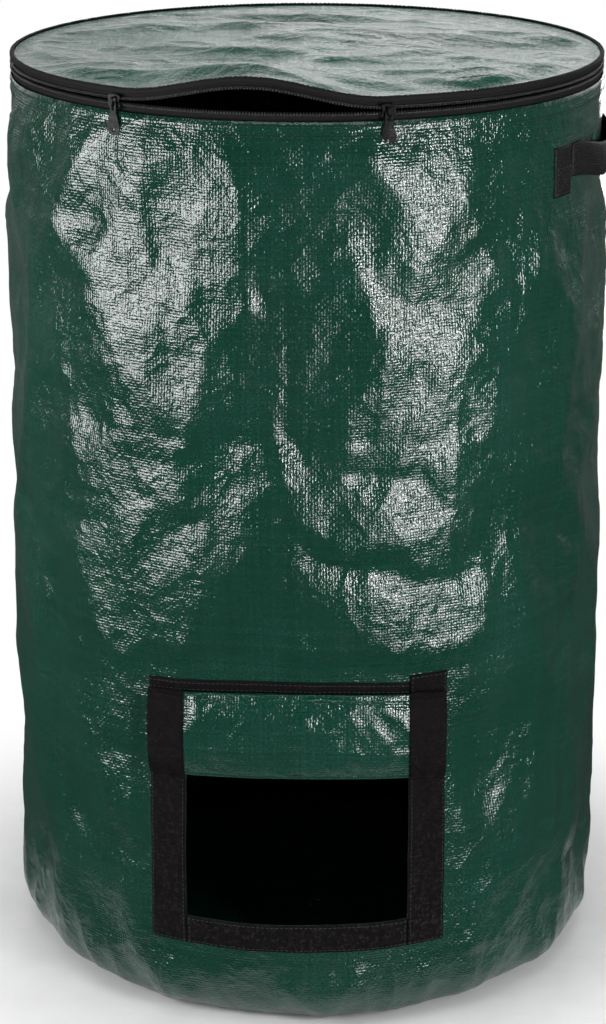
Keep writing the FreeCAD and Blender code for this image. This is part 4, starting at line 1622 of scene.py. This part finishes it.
class COMPOST_BAG_OT_flap(bpy.types.Operator):
    """Roll up the hatch flap with its tapes"""

    bl_idname = "compost_bag.flap"
    bl_label = "Flap"
    bl_options = {"REGISTER", "UNDO"}

    def execute(self, context):
        make_flap()
        return {"FINISHED"}


class COMPOST_BAG_OT_handles(bpy.types.Operator):
    """Sew on the webbing handles"""

    bl_idname = "compost_bag.handles"
    bl_label = "Handles"
    bl_options = {"REGISTER", "UNDO"}

    def execute(self, context):
        make_handles()
        return {"FINISHED"}


class COMPOST_BAG_OT_rim_stitches(bpy.types.Operator):
    """Stitch the hem at the rim"""

    bl_idname = "compost_bag.rim_stitches"
    bl_label = "Rim stitches"
    bl_options = {"REGISTER", "UNDO"}

    def execute(self, context):
        make_rim_stitches()
        return {"FINISHED"}


class COMPOST_BAG_OT_stage(bpy.types.Operator):
    """Set up floor, lamps and camera"""

    bl_idname = "compost_bag.stage"
    bl_label = "Stage"
    bl_options = {"REGISTER", "UNDO"}

    def execute(self, context):
        make_stage()
        return {"FINISHED"}


OPERATORS = [
    COMPOST_BAG_OT_back_seam,
    COMPOST_BAG_OT_base,
    COMPOST_BAG_OT_wall,
    COMPOST_BAG_OT_lid_back_strip,
    COMPOST_BAG_OT_zip,
    COMPOST_BAG_OT_lid,
    COMPOST_BAG_OT_sliders,
    COMPOST_BAG_OT_hatch_tapes,
    COMPOST_BAG_OT_flap,
    COMPOST_BAG_OT_handles,
    COMPOST_BAG_OT_rim_stitches,
    COMPOST_BAG_OT_stage,
]


class COMPOST_BAG_PT_panel(bpy.types.Panel):
    """Lists the bag's settings and pieces."""

    bl_idname = "COMPOST_BAG_PT_panel"
    bl_label = "Compost Bag"
    bl_space_type = "VIEW_3D"
    bl_region_type = "UI"
    bl_category = "Compost Bag"

    def draw(self, context):
        for group in (
            context.scene.compost_bag_sizes,
            context.scene.compost_bag_colours,
            context.scene.compost_bag_studio,
        ):
            box = self.layout.box()
            for name in group.bl_rna.properties.keys():
                if name not in ("rna_type", "name"):
                    box.prop(group, name)
        for item in OPERATORS:
            self.layout.operator(item.bl_idname)


CLASSES = [BagSizes, BagColours, StudioSettings, *OPERATORS, COMPOST_BAG_PT_panel]


def register():
    """Makes the settings, operators and panel known to Blender."""
    for item in CLASSES:
        bpy.utils.register_class(item)
    bpy.types.Scene.compost_bag_sizes = PointerProperty(type=BagSizes)
    bpy.types.Scene.compost_bag_colours = PointerProperty(type=BagColours)
    bpy.types.Scene.compost_bag_studio = PointerProperty(type=StudioSettings)


def unregister():
    """Takes back what register did."""
    del bpy.types.Scene.compost_bag_studio
    del bpy.types.Scene.compost_bag_colours
    del bpy.types.Scene.compost_bag_sizes
    for item in reversed(CLASSES):
        bpy.utils.unregister_class(item)


def main():
    """Makes every piece and the stage."""
    register()
    for item in OPERATORS:
        getattr(bpy.ops.compost_bag, item.bl_idname.split(".")[1])()


if __name__ == "__main__":
    main()
